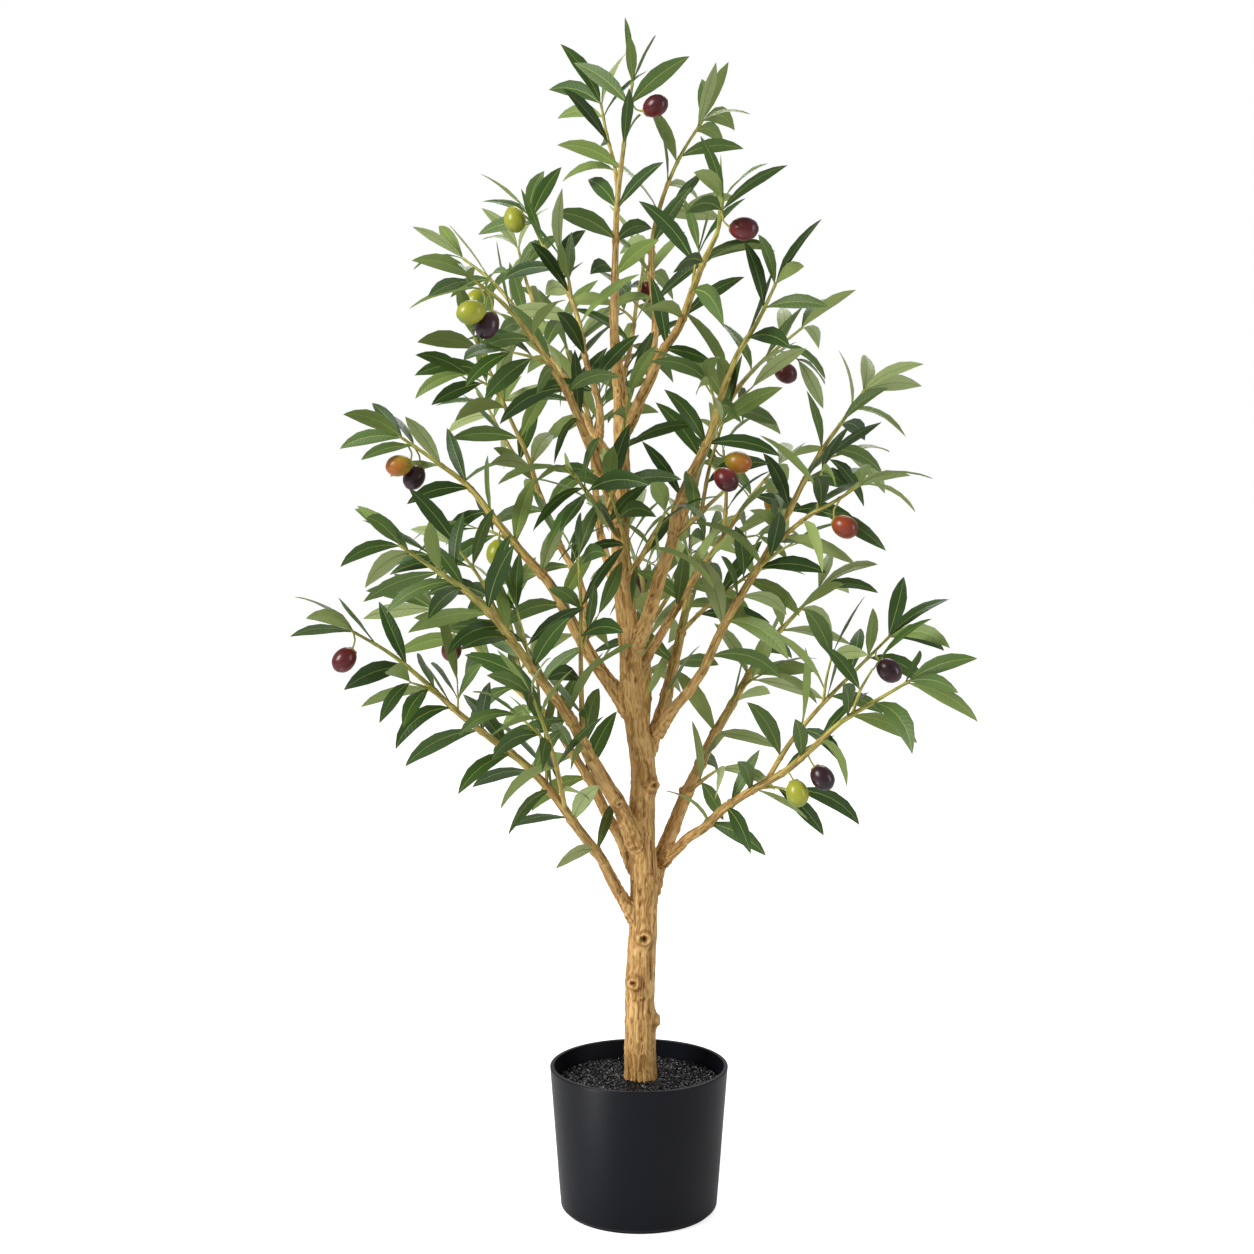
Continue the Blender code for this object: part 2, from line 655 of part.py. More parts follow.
def leaf_mesh(name, leaf):
    """A kite of six faces with a ridge along its back, from a sphere of three sides and two rows."""
    shape = bmesh.new()
    bmesh.ops.create_uvsphere(shape, u_segments=3, v_segments=2, radius=1.0)
    thick = leaf.length * LEAF_THICKNESS_RATIO
    for corner in shape.verts:
        level = (corner.co.z + 1.0) / 2.0
        part = level ** (math.log(LEAF_WIDEST) / math.log(0.5))
        point, along, across, normal = leaf_frame(leaf, part)
        aside = corner.co.y / math.sin(math.radians(60.0)) * leaf.width / 2.0
        corner.co = point + across * aside - normal * (corner.co.x * thick / 1.5)
    return mesh_from(shape, name)


def leaf_guard(leaf):
    """The space that a leaf needs, as a search tree: a slightly fat strip without the leaf's root."""
    half_thick = leaf.length * LEAF_THICKNESS_RATIO / 2.0 + GUARD_MARGIN
    corners = []
    for part, share in zip(GUARD_PARTS, GUARD_WIDTHS):
        point, along, across, normal = leaf_frame(leaf, part)
        half_width = share * leaf.width / 2.0 + GUARD_MARGIN
        for turn_x, turn_y in ((1, 0), (0, 1), (-1, 0), (0, -1)):
            corners.append(point + across * (half_width * turn_x) + normal * (half_thick * turn_y))
    faces = []
    for ring in range(len(GUARD_PARTS) - 1):
        for side in range(4):
            near = ring * 4 + side
            far = ring * 4 + (side + 1) % 4
            faces.append((near, far, far + 4, near + 4))
    last = 4 * (len(GUARD_PARTS) - 1)
    faces.append((3, 2, 1, 0))
    faces.append((last, last + 1, last + 2, last + 3))
    return BVHTree.FromPolygons(corners, faces)


def mesh_obstacle(owner, mesh):
    corners = [corner.co for corner in mesh.vertices]
    faces = [tuple(face.vertices) for face in mesh.polygons]
    centre = sum(corners, Vector()) / len(corners)
    reach = max((corner - centre).length for corner in corners)
    return Obstacle(owner, centre, reach, BVHTree.FromPolygons(corners, faces))


def is_free(wanted, obstacles, own):
    """Whether the wanted space touches no obstacle, apart from those of the shoot it grows on."""
    for other in obstacles:
        if other.owner == own:
            continue
        if (other.centre - wanted.centre).length > other.reach + wanted.reach:
            continue
        if other.tree.overlap(wanted.tree):
            return False
    return True


def place_leaf(path, fraction, fan, opening, size, chance):
    """One leaf on a shoot, drawn by the seeded rule: it opens from the shoot and its tip droops."""
    along = path.tangent(fraction)
    side = UP.cross(along)
    side = side.normalized() if side.length > 0.05 else Vector((1.0, 0.0, 0.0))
    lift = along.cross(side)
    turn = math.radians(fan + chance.uniform(-FAN_JITTER, FAN_JITTER))
    aside = lift * math.cos(turn) + side * math.sin(turn)
    angle = math.radians(opening + chance.uniform(-OPENING_JITTER, OPENING_JITTER))
    start = along * math.cos(angle) + aside * math.sin(angle)
    level = math.sqrt(max(0.0, 1.0 - start.z ** 2))
    bend = math.radians(BEND_LEAST + BEND_MOST * level * chance.uniform(*BEND_DRAW))
    if start.z < 0.0:
        bend *= 0.6
    fall = -UP + aside * DROOP_ASIDE
    fall -= start * fall.dot(start)
    fall.normalize()
    face = along.cross(aside)
    face.rotate(Quaternion(start, math.radians(chance.uniform(-LEAF_ROLL, LEAF_ROLL))))
    length = LEAF_LENGTH * size * chance.uniform(*LENGTH_DRAW)
    width = length * LEAF_WIDTH_RATIO * chance.uniform(*WIDTH_DRAW)
    root = path.point(fraction) - start * (ROOT_SUNK * path.radius(fraction))
    return Leaf(root, start, fall, bend, face, length, width)


def try_leaf(path, owner, fraction, fan, opening, size, chance, obstacles, leaves):
    """Up to a few draws for one leaf. It is left out where none of them finds free space."""
    for draw in range(LEAF_DRAWS):
        leaf = place_leaf(path, fraction, fan, opening, size * (1.0 - DRAW_SHRINK * draw), chance)
        space = Obstacle("leaf", leaf_frame(leaf, 0.5)[0], 0.56 * leaf.length, leaf_guard(leaf))
        if is_free(space, obstacles, owner):
            obstacles.append(space)
            leaves.append(leaf)
            return


def clothe_shoot(path, owner, bare, turn, tufts, chance, obstacles, leaves):
    """Pairs of leaves along a shoot, each pair turned from the last, and a tuft at its tip."""
    station = bare
    pair = 0
    while station < path.length - BARE_TIP:
        fraction = station / path.length
        fan = turn + (LEAF_FAN if pair % 2 else -LEAF_FAN)
        opening = OPENING_AT_FOOT - OPENING_LOSS * fraction
        size = 1.0 - TIP_SHRINK * max(0.0, fraction - 0.6)
        for half in (0.0, 180.0):
            shift = chance.uniform(-PAIR_SHIFT, PAIR_SHIFT) / path.length
            try_leaf(path, owner, fraction + shift, fan + half, opening, size, chance, obstacles, leaves)
        station += LEAF_STEP * chance.uniform(*STEP_DRAW)
        pair += 1
    for tuft in range(tufts):
        fan = turn + 45.0 + 360.0 / tufts * tuft
        opening = TUFT_OPENINGS[tuft % 2]
        try_leaf(path, owner, TUFT_PLACE, fan, opening, TUFT_SIZE, chance, obstacles, leaves)


def make_twiglets(name, paths, chance, obstacles):
    """Short side twigs along the shoots, at alternate sides, where there is room for them."""
    twiglets = []
    for index, path in enumerate(paths):
        parent = "%s_%d" % (name, index)
        for number in range(int(path.length / TWIGLET_EVERY)):
            fraction = (number + 0.75 + chance.uniform(-0.15, 0.15)) * TWIGLET_EVERY / path.length
            if fraction > TWIGLET_LAST:
                continue
            along = path.tangent(fraction)
            draw = (chance.uniform(-1.0, 1.0), chance.uniform(-1.0, 1.0), chance.uniform(-0.4, 0.4))
            aside = along.cross(Vector(draw)).normalized()
            opening = TWIGLET_OPENING if number % 2 else -TWIGLET_OPENING
            course = along * TWIGLET_ALONG + aside * opening + UP * TWIGLET_LIFT
            course *= TWIGLET_LENGTH * chance.uniform(*TWIGLET_DRAW) / course.length
            heading = math.degrees(math.atan2(course.y, course.x))
            reach = math.hypot(course.x, course.y)
            radius = min(TWIGLET_RADIUS, 0.8 * path.radius(fraction))
            row = Shoot(index, fraction, heading, reach, course.z, 0.002, 0.0, radius)
            twiglet = shoot_path(row, path.point(fraction), tip_radius=TWIGLET_TIP_RADIUS)
            owner = "%s_twiglet_%d" % (name, len(twiglets))
            mesh = tube_mesh(owner, twiglet, 3)
            space = mesh_obstacle(owner, mesh)
            if is_free(space, obstacles, parent):
                twiglets.append((twiglet, mesh, owner))
                obstacles.append(space)
            else:
                bpy.data.meshes.remove(mesh)
    return twiglets


def olive_meshes(name, row, path):
    """A stalk that bends over from the shoot, and the fruit that hangs from it."""
    out = heading_vector(row.heading)
    dip = math.radians(row.dip)
    first = out * math.cos(dip) - UP * math.sin(dip)
    hang = (first * 0.55 - UP * 0.45).normalized()
    start = path.point(row.at)
    knee = start + first * (0.6 * OLIVE_STALK)
    end = knee + hang * (0.4 * OLIVE_STALK)
    stalk = Path([start, knee, end + hang * 0.003], [STALK_RADIUS] * 3)
    shape = bmesh.new()
    bmesh.ops.create_uvsphere(shape, u_segments=6, v_segments=4, radius=1.0)
    size = Matrix.Diagonal((OLIVE_WIDTH / 2.0, OLIVE_WIDTH / 2.0, OLIVE_LENGTH / 2.0, 1.0))
    aim = hang.to_track_quat("Z", "Y").to_matrix().to_4x4()
    place = Matrix.Translation(end + hang * (0.42 * OLIVE_LENGTH)) @ aim
    bmesh.ops.transform(shape, matrix=place @ size, verts=shape.verts)
    return tube_mesh(name + "_stalk", stalk, 3), mesh_from(shape, name)


def make_limbs(home, cutters):
    """The trunk and the boughs, each bough cut back to a gap from its parent."""
    paths = {"trunk": trunk_path()}
    limbs = [join_all("trunk", trunk_meshes("trunk", paths["trunk"]), home)]
    fat = {"trunk": fat_copy("trunk", paths["trunk"], cutters)}
    for row in BOUGHS:
        path = bough_path(row, paths[row.parent])
        bough = add_object(row.name, tube_mesh(row.name, path, BOUGH_SIDES), home)
        apply_boolean(bough, "DIFFERENCE", "EXACT", other=fat[row.parent])
        paths[row.name] = path
        fat[row.name] = fat_copy(row.name, path, cutters)
        limbs.append(bough)
    for limb in limbs:
        limb.data.shade_smooth()
        dress(limb, "bark")
    return paths, fat, limbs


def shoot_meshes(spray, shoots, fat, cutters):
    """The bare shoots of one spray. A stem on a limb's side is cut back to a gap from it."""
    meshes = []
    for index, (row, path) in enumerate(zip(spray.shoots, shoots)):
        sides = 4 if row.foot_radius > STOUT_SHOOT else 3
        meshes.append(tube_mesh("%s_shoot_%d" % (spray.name, index), path, sides))
    if spray.at != 1.0:
        stem = add_object(spray.name + "_stem", meshes[0], cutters)
        apply_boolean(stem, "DIFFERENCE", "EXACT", other=fat[spray.limb])
        meshes[0] = stem.data
        bpy.data.objects.remove(stem, do_unlink=True)
    return meshes


def make_spray(spray, shoots, meshes, obstacles, home):
    """One mass of foliage: its shoots with olives, twiglets and leaves, fused into one body."""
    chance = random.Random(spray.seed)
    leaves = []
    twiglets = make_twiglets(spray.name, shoots, chance, obstacles)
    for index, path in enumerate(shoots):
        owner = "%s_%d" % (spray.name, index)
        bare = BARE_FORK if index or spray.at != 1.0 else BARE_STEM
        clothe_shoot(path, owner, bare, spray.turn, SHOOT_TUFT, chance, obstacles, leaves)
    for twiglet, mesh, owner in twiglets:
        meshes.append(mesh)
        clothe_shoot(twiglet, owner, BARE_TWIGLET, spray.turn, TWIGLET_TUFT, chance, obstacles, leaves)
    for leaf in leaves:
        meshes.append(leaf_mesh("leaf", leaf))
    body = join_all(spray.name, meshes, home)
    dress(body, "foliage")


def main():
    clear_scene()
    home = new_collection(TREE_NAME)
    cutters = new_collection(TREE_NAME + "_cutters")
    dress(make_pot(home), "pot_plastic")
    dress(make_fill(home), "granules")
    paths, fat, limbs = make_limbs(home, cutters)
    obstacles = [mesh_obstacle(limb.name, limb.data) for limb in limbs]

    # All main shoots and olives come first, so that leaves keep off them wherever they grow
    grown = {}
    for spray in SPRAYS:
        shoots = spray_paths(spray, paths[spray.limb])
        meshes = shoot_meshes(spray, shoots, fat, cutters)
        for index, mesh in enumerate(meshes):
            obstacles.append(mesh_obstacle("%s_%d" % (spray.name, index), mesh))
        grown[spray.name] = (shoots, meshes)
    for row in OLIVES:
        shoots, meshes = grown[row.spray]
        for mesh in olive_meshes("olive", row, shoots[row.shoot]):
            meshes.append(mesh)
            obstacles.append(mesh_obstacle("olive", mesh))
    for spray in SPRAYS:
        make_spray(spray, *grown[spray.name], obstacles, home)


main()
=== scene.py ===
# Artificial olive tree in a plain black pot. Bark, shoots, leaves, olives and granules are grown here
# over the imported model, in metres, in the same frame as the model.
import json
import math
import random
from collections import namedtuple

import bmesh
import bpy
from mathutils import Matrix, Quaternion, Vector, noise
from mathutils.bvhtree import BVHTree

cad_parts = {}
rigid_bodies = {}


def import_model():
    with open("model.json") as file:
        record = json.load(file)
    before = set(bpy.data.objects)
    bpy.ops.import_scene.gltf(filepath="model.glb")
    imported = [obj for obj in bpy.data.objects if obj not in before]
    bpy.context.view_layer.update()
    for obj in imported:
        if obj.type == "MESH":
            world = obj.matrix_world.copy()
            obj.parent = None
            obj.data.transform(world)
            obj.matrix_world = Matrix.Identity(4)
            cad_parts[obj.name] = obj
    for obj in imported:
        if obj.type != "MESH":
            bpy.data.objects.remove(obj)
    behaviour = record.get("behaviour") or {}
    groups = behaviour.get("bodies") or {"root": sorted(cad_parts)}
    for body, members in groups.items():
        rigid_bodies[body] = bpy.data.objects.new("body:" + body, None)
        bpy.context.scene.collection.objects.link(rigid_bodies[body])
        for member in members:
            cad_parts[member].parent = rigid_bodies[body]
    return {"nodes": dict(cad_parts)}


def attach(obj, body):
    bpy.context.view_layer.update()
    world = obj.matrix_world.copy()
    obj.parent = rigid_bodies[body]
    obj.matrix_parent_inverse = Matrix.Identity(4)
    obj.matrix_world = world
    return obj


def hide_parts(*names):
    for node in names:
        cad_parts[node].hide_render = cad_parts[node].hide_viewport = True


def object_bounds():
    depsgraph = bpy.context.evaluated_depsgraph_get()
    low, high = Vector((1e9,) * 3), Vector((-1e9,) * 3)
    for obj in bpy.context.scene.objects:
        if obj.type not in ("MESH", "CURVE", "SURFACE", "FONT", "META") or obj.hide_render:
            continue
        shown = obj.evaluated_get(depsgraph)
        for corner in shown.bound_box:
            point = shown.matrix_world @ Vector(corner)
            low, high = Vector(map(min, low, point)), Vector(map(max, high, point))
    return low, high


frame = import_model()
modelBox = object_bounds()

upward = Vector((0.0, 0.0, 1.0))
nodes = frame["nodes"]

# Studio: camera as in the photograph, pale floor, soft lights
studio = dict(
    cameraPlace=(-0.0122, -2.2, 0.8375),
    cameraDip=6.217,            # degrees below the horizon
    lens=63.76, sensor=36.0, farthest=60.0,
    floorColour=(0.78, 0.78, 0.78), floorRadius=14.0,
    floorGlow=0.69,             # keeps the floor as white as the sky, for the camera only
    skyLight=0.42,              # how strongly the white surroundings light the tree
    lamps=(                     # place, target, width, height, watts
        ((-2.3, -1.6, 2.3), (0.0, 0.0, 0.60), 1.2, 1.6, 94.0),           # main light, from the left
        ((-0.36, -0.27, 0.064), (0.0, 0.0, 0.060), 0.12, 0.11, 0.60),    # low, for the sheen on the pot
        ((2.1, -1.0, 1.1), (0.0, 0.0, 0.45), 0.6, 1.6, 15.0),            # softer, from the right
        ((0.3, 2.0, 2.3), (0.0, 0.0, 0.70), 1.8, 1.0, 26.0),             # from behind
    ),
)


def forCamera(tree, seen, lit):
    # one value for what the camera sees of the surroundings and another for what lights the tree
    ray = put(tree, "ShaderNodeLightPath").outputs["Is Camera Ray"]
    return calc(tree, "MULTIPLY_ADD", ray, seen - lit, lit)


def makeStudio():
    camera = bpy.data.cameras.new("camera")
    camera.lens = studio["lens"]
    camera.sensor_width = studio["sensor"]
    camera.clip_end = studio["farthest"]
    holder = addPiece("camera", camera)
    holder.location = studio["cameraPlace"]
    holder.rotation_euler = (math.radians(90.0 - studio["cameraDip"]), 0.0, 0.0)
    bpy.context.scene.camera = holder

    world = bpy.data.worlds.new("studioSky")
    world.use_nodes = True
    sky = world.node_tree.nodes["Background"]
    sky.inputs["Color"].default_value = (1.0, 1.0, 1.0, 1.0)
    feed(world.node_tree, sky.inputs["Strength"], forCamera(world.node_tree, 1.0, studio["skyLight"]))
    bpy.context.scene.world = world
    bpy.context.scene.view_settings.view_transform = "Standard"

    for index, (place, target, width, height, watts) in enumerate(studio["lamps"]):
        lamp = bpy.data.lights.new("softbox%d" % index, "AREA")
        lamp.shape = "RECTANGLE"
        lamp.size = width
        lamp.size_y = height
        lamp.energy = watts
        stand = addPiece(lamp.name, lamp)
        stand.location = place
        aim = Vector(target) - Vector(place)
        stand.rotation_euler = aim.to_track_quat("-Z", "Y").to_euler()
        stand.visible_camera = False

    shape = bmesh.new()
    bmesh.ops.create_circle(shape, cap_ends=True, segments=96, radius=studio["floorRadius"])
    floor = addPiece("floor", keptMesh(shape, "floor"))
    paint, tree, surface = newFinish("paleFloor", studio["floorColour"], 0.9, 0.1)
    surface.inputs["Emission Color"].default_value = (1.0, 1.0, 1.0, 1.0)
    feed(tree, surface.inputs["Emission Strength"], forCamera(tree, studio["floorGlow"], 0.0))
    floor.data.materials.append(paint)
    print("studio ready")


# Small helpers for meshes, node trees and finishes
def addPiece(name, data):
    piece = bpy.data.objects.new(name, data)
    bpy.context.scene.collection.objects.link(piece)
    return piece


def keptMesh(shape, name):
    mesh = bpy.data.meshes.new(name)
    shape.to_mesh(mesh)
    shape.free()
    return mesh


def put(tree, kind, feeds=(), **settings):
    # a node with its settings, its sockets fed by a link or a plain value
    node = tree.nodes.new(kind)
    for key, value in settings.items():
        setattr(node, key, value)
    for place, value in dict(feeds).items():
        feed(tree, node.inputs[place], value)
    return node


def feed(tree, socket, value):
    if isinstance(value, bpy.types.NodeSocket):
        tree.links.new(value, socket)
    else:
        socket.default_value = value


def calc(tree, operation, *values, clamp=False):
    node = put(tree, "ShaderNodeMath", operation=operation, use_clamp=clamp)
    for socket, value in zip(node.inputs, values):
        feed(tree, socket, value)
    return node.outputs[0]


def calcVector(tree, operation, *values):
    node = put(tree, "ShaderNodeVectorMath", operation=operation)
    places = (0, 3) if operation == "SCALE" else (0, 1, 2)
    for place, value in zip(places, values):
        feed(tree, node.inputs[place], value)
    return node.outputs["Value" if operation in ("LENGTH", "DISTANCE", "DOT_PRODUCT") else "Vector"]


def stored(tree, name, kind="FLOAT"):
    node = put(tree, "GeometryNodeInputNamedAttribute", {"Name": name}, data_type=kind)
    return node.outputs["Attribute"]


def store(tree, geometry, name, value, kind="FLOAT"):
    feeds = {"Geometry": geometry, "Name": name, "Value": value}
    node = put(tree, "GeometryNodeStoreNamedAttribute", feeds, data_type=kind, domain="POINT")
    return node.outputs["Geometry"]


def newTree(name, **labels):
    # a Geometry Nodes tree, its inputs named by kind
    tree = bpy.data.node_groups.new(name, "GeometryNodeTree")
    for kind, row in dict(Geometry="Geometry", **labels).items():
        for label in row.split(", "):
            tree.interface.new_socket(label, in_out="INPUT", socket_type="NodeSocket" + kind)
    tree.interface.new_socket("Geometry", in_out="OUTPUT", socket_type="NodeSocketGeometry")
    return tree, tree.nodes.new("NodeGroupInput").outputs, tree.nodes.new("NodeGroupOutput").inputs


def runTree(source, tree, settings, name):
    # lets a tree work on the source and keeps what it makes as a plain mesh; an input such as
    # "Fold Depth" takes the setting foldDepth
    worker = source.modifiers.new("Grow", "NODES")
    worker.node_group = tree
    for socket in tree.interface.items_tree:
        key = socket.name[0].lower() + socket.name[1:].replace(" ", "")
        if socket.in_out == "INPUT" and key in settings:
            worker[socket.identifier] = settings[key]
    graph = bpy.context.evaluated_depsgraph_get()
    grown = source.evaluated_get(graph)
    mesh = bpy.data.meshes.new_from_object(grown, preserve_all_data_layers=True, depsgraph=graph)
    source.modifiers.clear()
    bpy.data.objects.remove(source, do_unlink=True)
    return addPiece(name, mesh)


def withFields(mesh, fields, rows):
    # one attribute for each field, filled from the rows
    for name, kind in fields:
        layer = mesh.attributes.new(name, kind, "POINT")
        if kind == "FLOAT_VECTOR":
            layer.data.foreach_set("vector", [part for row in rows for part in row[name]])
        else:
            layer.data.foreach_set("value", [row[name] for row in rows])
    return mesh


def joined(name, pieces):
    # several objects made into one
    first = pieces[0]
    if len(pieces) > 1:
        with bpy.context.temp_override(active_object=first, selected_editable_objects=pieces):
            bpy.ops.object.join()
    first.name = name
    first.data.name = name
    return first


def newFinish(name, colour, roughness, specular):
    finish = bpy.data.materials.new(name)
    finish.use_nodes = True
    shader = finish.node_tree.nodes["Principled BSDF"]
    shader.inputs["Base Color"].default_value = (*colour, 1.0)
    shader.inputs["Roughness"].default_value = roughness
    shader.inputs["Specular IOR Level"].default_value = specular
    finish.diffuse_color = (*colour, 1.0)
    return finish, finish.node_tree, shader


def addBump(tree, shader, height, strength, distance):
    bump = put(tree, "ShaderNodeBump", {"Height": height, "Strength": strength, "Distance": distance})
    tree.links.new(bump.outputs["Normal"], shader.inputs["Normal"])


def noiseOn(tree, place, scale, detail=2.0, roughness=0.5):
    feeds = {"Vector": place, "Scale": scale, "Detail": detail, "Roughness": roughness}
    return put(tree, "ShaderNodeTexNoise", feeds).outputs[0]


def centred(tree, *settings):
    # noise that swings about zero
    return calc(tree, "SUBTRACT", noiseOn(tree, *settings), 0.5)


def noiseShift(tree, place, scale, reach):
    # a small shift that differs from place to place
    node = put(tree, "ShaderNodeTexNoise", {"Vector": place, "Scale": scale, "Detail": 1.0})
    swing = calcVector(tree, "SUBTRACT", node.outputs["Color"], (0.5, 0.5, 0.5))
    return scaled(tree, swing, reach)


def scaled(tree, vector, factor):
    return calcVector(tree, "SCALE", vector, factor)


def times(tree, *values):
    product = values[0]
    for value in values[1:]:
        product = calc(tree, "MULTIPLY", product, value)
    return product


def total(tree, *terms):
    # the sum of products: each term is a tuple of values to multiply
    result = times(tree, *terms[0])
    for term in terms[1:]:
        result = calc(tree, "ADD", result, times(tree, *term))
    return result


def hill(tree, ratio, centre, width):
    # a smooth bump of height 1 where the ratio is near the centre
    part = calc(tree, "DIVIDE", calc(tree, "SUBTRACT", ratio, centre), width)
    return calc(tree, "EXPONENT", times(tree, part, part, -1.0))


def edge(tree, value, start, span):
    # 0 below the start, 1 beyond the span after it
    return calc(tree, "DIVIDE", calc(tree, "SUBTRACT", value, start), span, clamp=True)


def decay(tree, value, reach):
    # 1 where the value is 0, falling off over the reach
    return calc(tree, "EXPONENT", calc(tree, "DIVIDE", times(tree, value, -1.0), reach))


def geometryOf(tree, holder):
    return put(tree, "GeometryNodeObjectInfo", {"Object": holder}).outputs["Geometry"]


def realized(tree, feeds):
    # a real copy of the instance on each point
    many = put(tree, "GeometryNodeInstanceOnPoints", feeds).outputs["Instances"]
    return put(tree, "GeometryNodeRealizeInstances", {"Geometry": many}).outputs["Geometry"]


def coated(tree, geometry, material, chosen=True):
    feeds = {"Geometry": geometry, "Selection": chosen, "Material": material}
    return put(tree, "GeometryNodeSetMaterial", feeds).outputs["Geometry"]


def tubeSkin(tree, given):
    # a closed tube along each line of the source
    line = put(tree, "GeometryNodeMeshToCurve", {"Mesh": given["Geometry"]}).outputs["Curve"]
    ring = put(tree, "GeometryNodeCurvePrimitiveCircle", {"Resolution": given["Sides"], "Radius": 1.0})
    angle = times(tree, put(tree, "GeometryNodeSplineParameter").outputs["Factor"], 2.0 * math.pi)
    profile = store(tree, ring.outputs["Curve"], "turn", angle)
    feeds = {"Curve": line, "Profile Curve": profile, "Scale": stored(tree, "thick"), "Fill Caps": True}
    return put(tree, "GeometryNodeCurveToMesh", feeds).outputs["Mesh"]


def roundPlace(tree, run):
    # a place on such a tube that runs round it without a seam
    thick, turn = stored(tree, "thick"), stored(tree, "turn")
    feeds = {"X": times(tree, calc(tree, "COSINE", turn), thick),
             "Y": times(tree, calc(tree, "SINE", turn), thick), "Z": run}
    return put(tree, "ShaderNodeCombineXYZ", feeds).outputs["Vector"]


def liftSkin(tree, skin, height):
    # moves the skin outward and shades it smooth
    offset = scaled(tree, put(tree, "GeometryNodeInputNormal").outputs["Normal"], height)
    skin = put(tree, "GeometryNodeSetPosition", {"Geometry": skin, "Offset": offset}).outputs["Geometry"]
    return put(tree, "GeometryNodeSetShadeSmooth", {"Geometry": skin}).outputs["Geometry"]


def varyRoughness(tree, shader, value, low, high):
    feeds = {"Value": value, "To Min": low, "To Max": high}
    feed(tree, shader.inputs["Roughness"], put(tree, "ShaderNodeMapRange", feeds).outputs["Result"])


def ramp(tree, value, stops):
    node = put(tree, "ShaderNodeValToRGB", {"Fac": value})
    band = node.color_ramp
    while len(band.elements) < len(stops):
        band.elements.new(0.5)
    for element, (place, colour) in zip(band.elements, stops):
        element.position = place
        element.color = (*colour, 1.0)
    return node.outputs["Color"]


def blended(tree, share, first, second):
    feeds = {0: share, 6: first, 7: second}
    return put(tree, "ShaderNodeMix", feeds, data_type="RGBA").outputs[2]


def objectPlace(tree):
    return put(tree, "ShaderNodeTexCoord").outputs["Object"]


def surfacePlace(tree, name):
    return put(tree, "ShaderNodeAttribute", attribute_name=name).outputs["Vector"]


def surfaceValue(tree, name):
    return put(tree, "ShaderNodeAttribute", attribute_name=name).outputs["Fac"]


# The rule by which limbs wander and taper, as in the model
growth = dict(
    gap=0.0003,
    trunkSteps=20, footStep=0.003,
    boughStep=0.034, boughWander=0.012, boughTaper=0.8,
    collarSwell=0.22, collarFade=0.012, rootShare=0.62,
    shootStep=0.042, shootWander=0.014, shootTaper=0.9, shootTip=0.0013, shootLead=0.004,
    stoutShoot=0.0040,
)

# Trunk at rising heights: height, offset to the right and back, radius
trunkRows = (
    (0.1368, 0.0015, 0.000, 0.0164),
    (0.2250, 0.0010, 0.002, 0.0149),
    (0.3300, 0.0052, 0.000, 0.0136),
    (0.3950, 0.0030, -0.003, 0.0129),
    (0.4630, 0.0035, -0.002, 0.0121),
    (0.5110, -0.0050, 0.001, 0.0109),
    (0.5800, -0.0102, 0.004, 0.0102),
    (0.6730, -0.0185, 0.002, 0.0092),
    (0.7480, -0.0172, -0.002, 0.0080),
    (0.8230, -0.0185, 0.000, 0.0072),
    (0.8870, -0.0245, 0.002, 0.0046),
    (0.9300, -0.0245, 0.003, 0.0040),
)

# Boughs: where each leaves its parent, heading (0 is right, 90 is back), reach, rise, bow, sway, radii
limbRow = namedtuple("limbRow", "name parent at heading reach rise bow sway footRadius tipRadius")
boughRows = (
    limbRow("bough_low_left", "trunk", 0.189, 206, 0.044, 0.076, -0.001, 0.000, 0.0066, 0.0055),
    limbRow("bough_low_right", "trunk", 0.224, 45, 0.075, 0.123, 0.003, 0.000, 0.0092, 0.0061),
    limbRow("bough_low_right_outer", "bough_low_right", 0.284, 315, 0.060, 0.047, 0.002, 0.0, 0.0056, 0.0049),
    limbRow("bough_mid_left", "trunk", 0.289, 223, 0.071, 0.108, 0.002, 0.000, 0.0090, 0.0066),
    limbRow("bough_left", "trunk", 0.460, 162, 0.070, 0.102, -0.002, 0.000, 0.0078, 0.0058),
    limbRow("bough_left_upright", "bough_left", 0.767, 101, 0.026, 0.061, 0.001, -0.003, 0.0042, 0.0038),
    limbRow("bough_high_left", "trunk", 0.701, 244, 0.077, 0.098, 0.002, 0.001, 0.0056, 0.0045),
    limbRow("bough_high_left_upright", "bough_high_left",
            0.766, 58, 0.008, 0.05, -0.001, -0.003, 0.0038, 0.0035),
    limbRow("bough_back_left", "trunk", 0.588, 112, 0.071, 0.081, 0.000, 0.001, 0.0052, 0.0043),
    limbRow("bough_mid_right", "trunk", 0.406, 49, 0.032, 0.054, 0.000, -0.001, 0.0076, 0.0065),
    limbRow("bough_right", "bough_mid_right", 0.422, 337, 0.053, 0.071, 0.000, 0.000, 0.0056, 0.0049),
    limbRow("bough_high_right", "trunk", 0.546, 317, 0.061, 0.143, -0.005, 0.004, 0.0072, 0.0053),
    limbRow("bough_high_right_back", "bough_high_right", 0.597, 62, 0.064, 0.071, 0.000, 0.0, 0.0045, 0.0040),
    limbRow("bough_top_right", "trunk", 0.821, 304, 0.064, 0.075, -0.002, 0.001, 0.0056, 0.0047),
    limbRow("bough_top_right_back", "bough_top_right",
            0.745, 82, 0.038, 0.061, 0.001, -0.001, 0.0039, 0.0036),
    limbRow("bough_back_low", "trunk", 0.345, 87, 0.070, 0.089, 0.000, 0.002, 0.0066, 0.0054),
    limbRow("bough_back_low_left", "trunk", 0.255, 141, 0.063, 0.085, -0.002, 0.000, 0.0062, 0.0051),
    limbRow("bough_back_right", "trunk", 0.500, 55, 0.067, 0.066, 0.003, 0.000, 0.0050, 0.0043),
    limbRow("bough_back_high", "trunk", 0.765, 142, 0.051, 0.064, 0.001, 0.001, 0.0046, 0.0040),
)

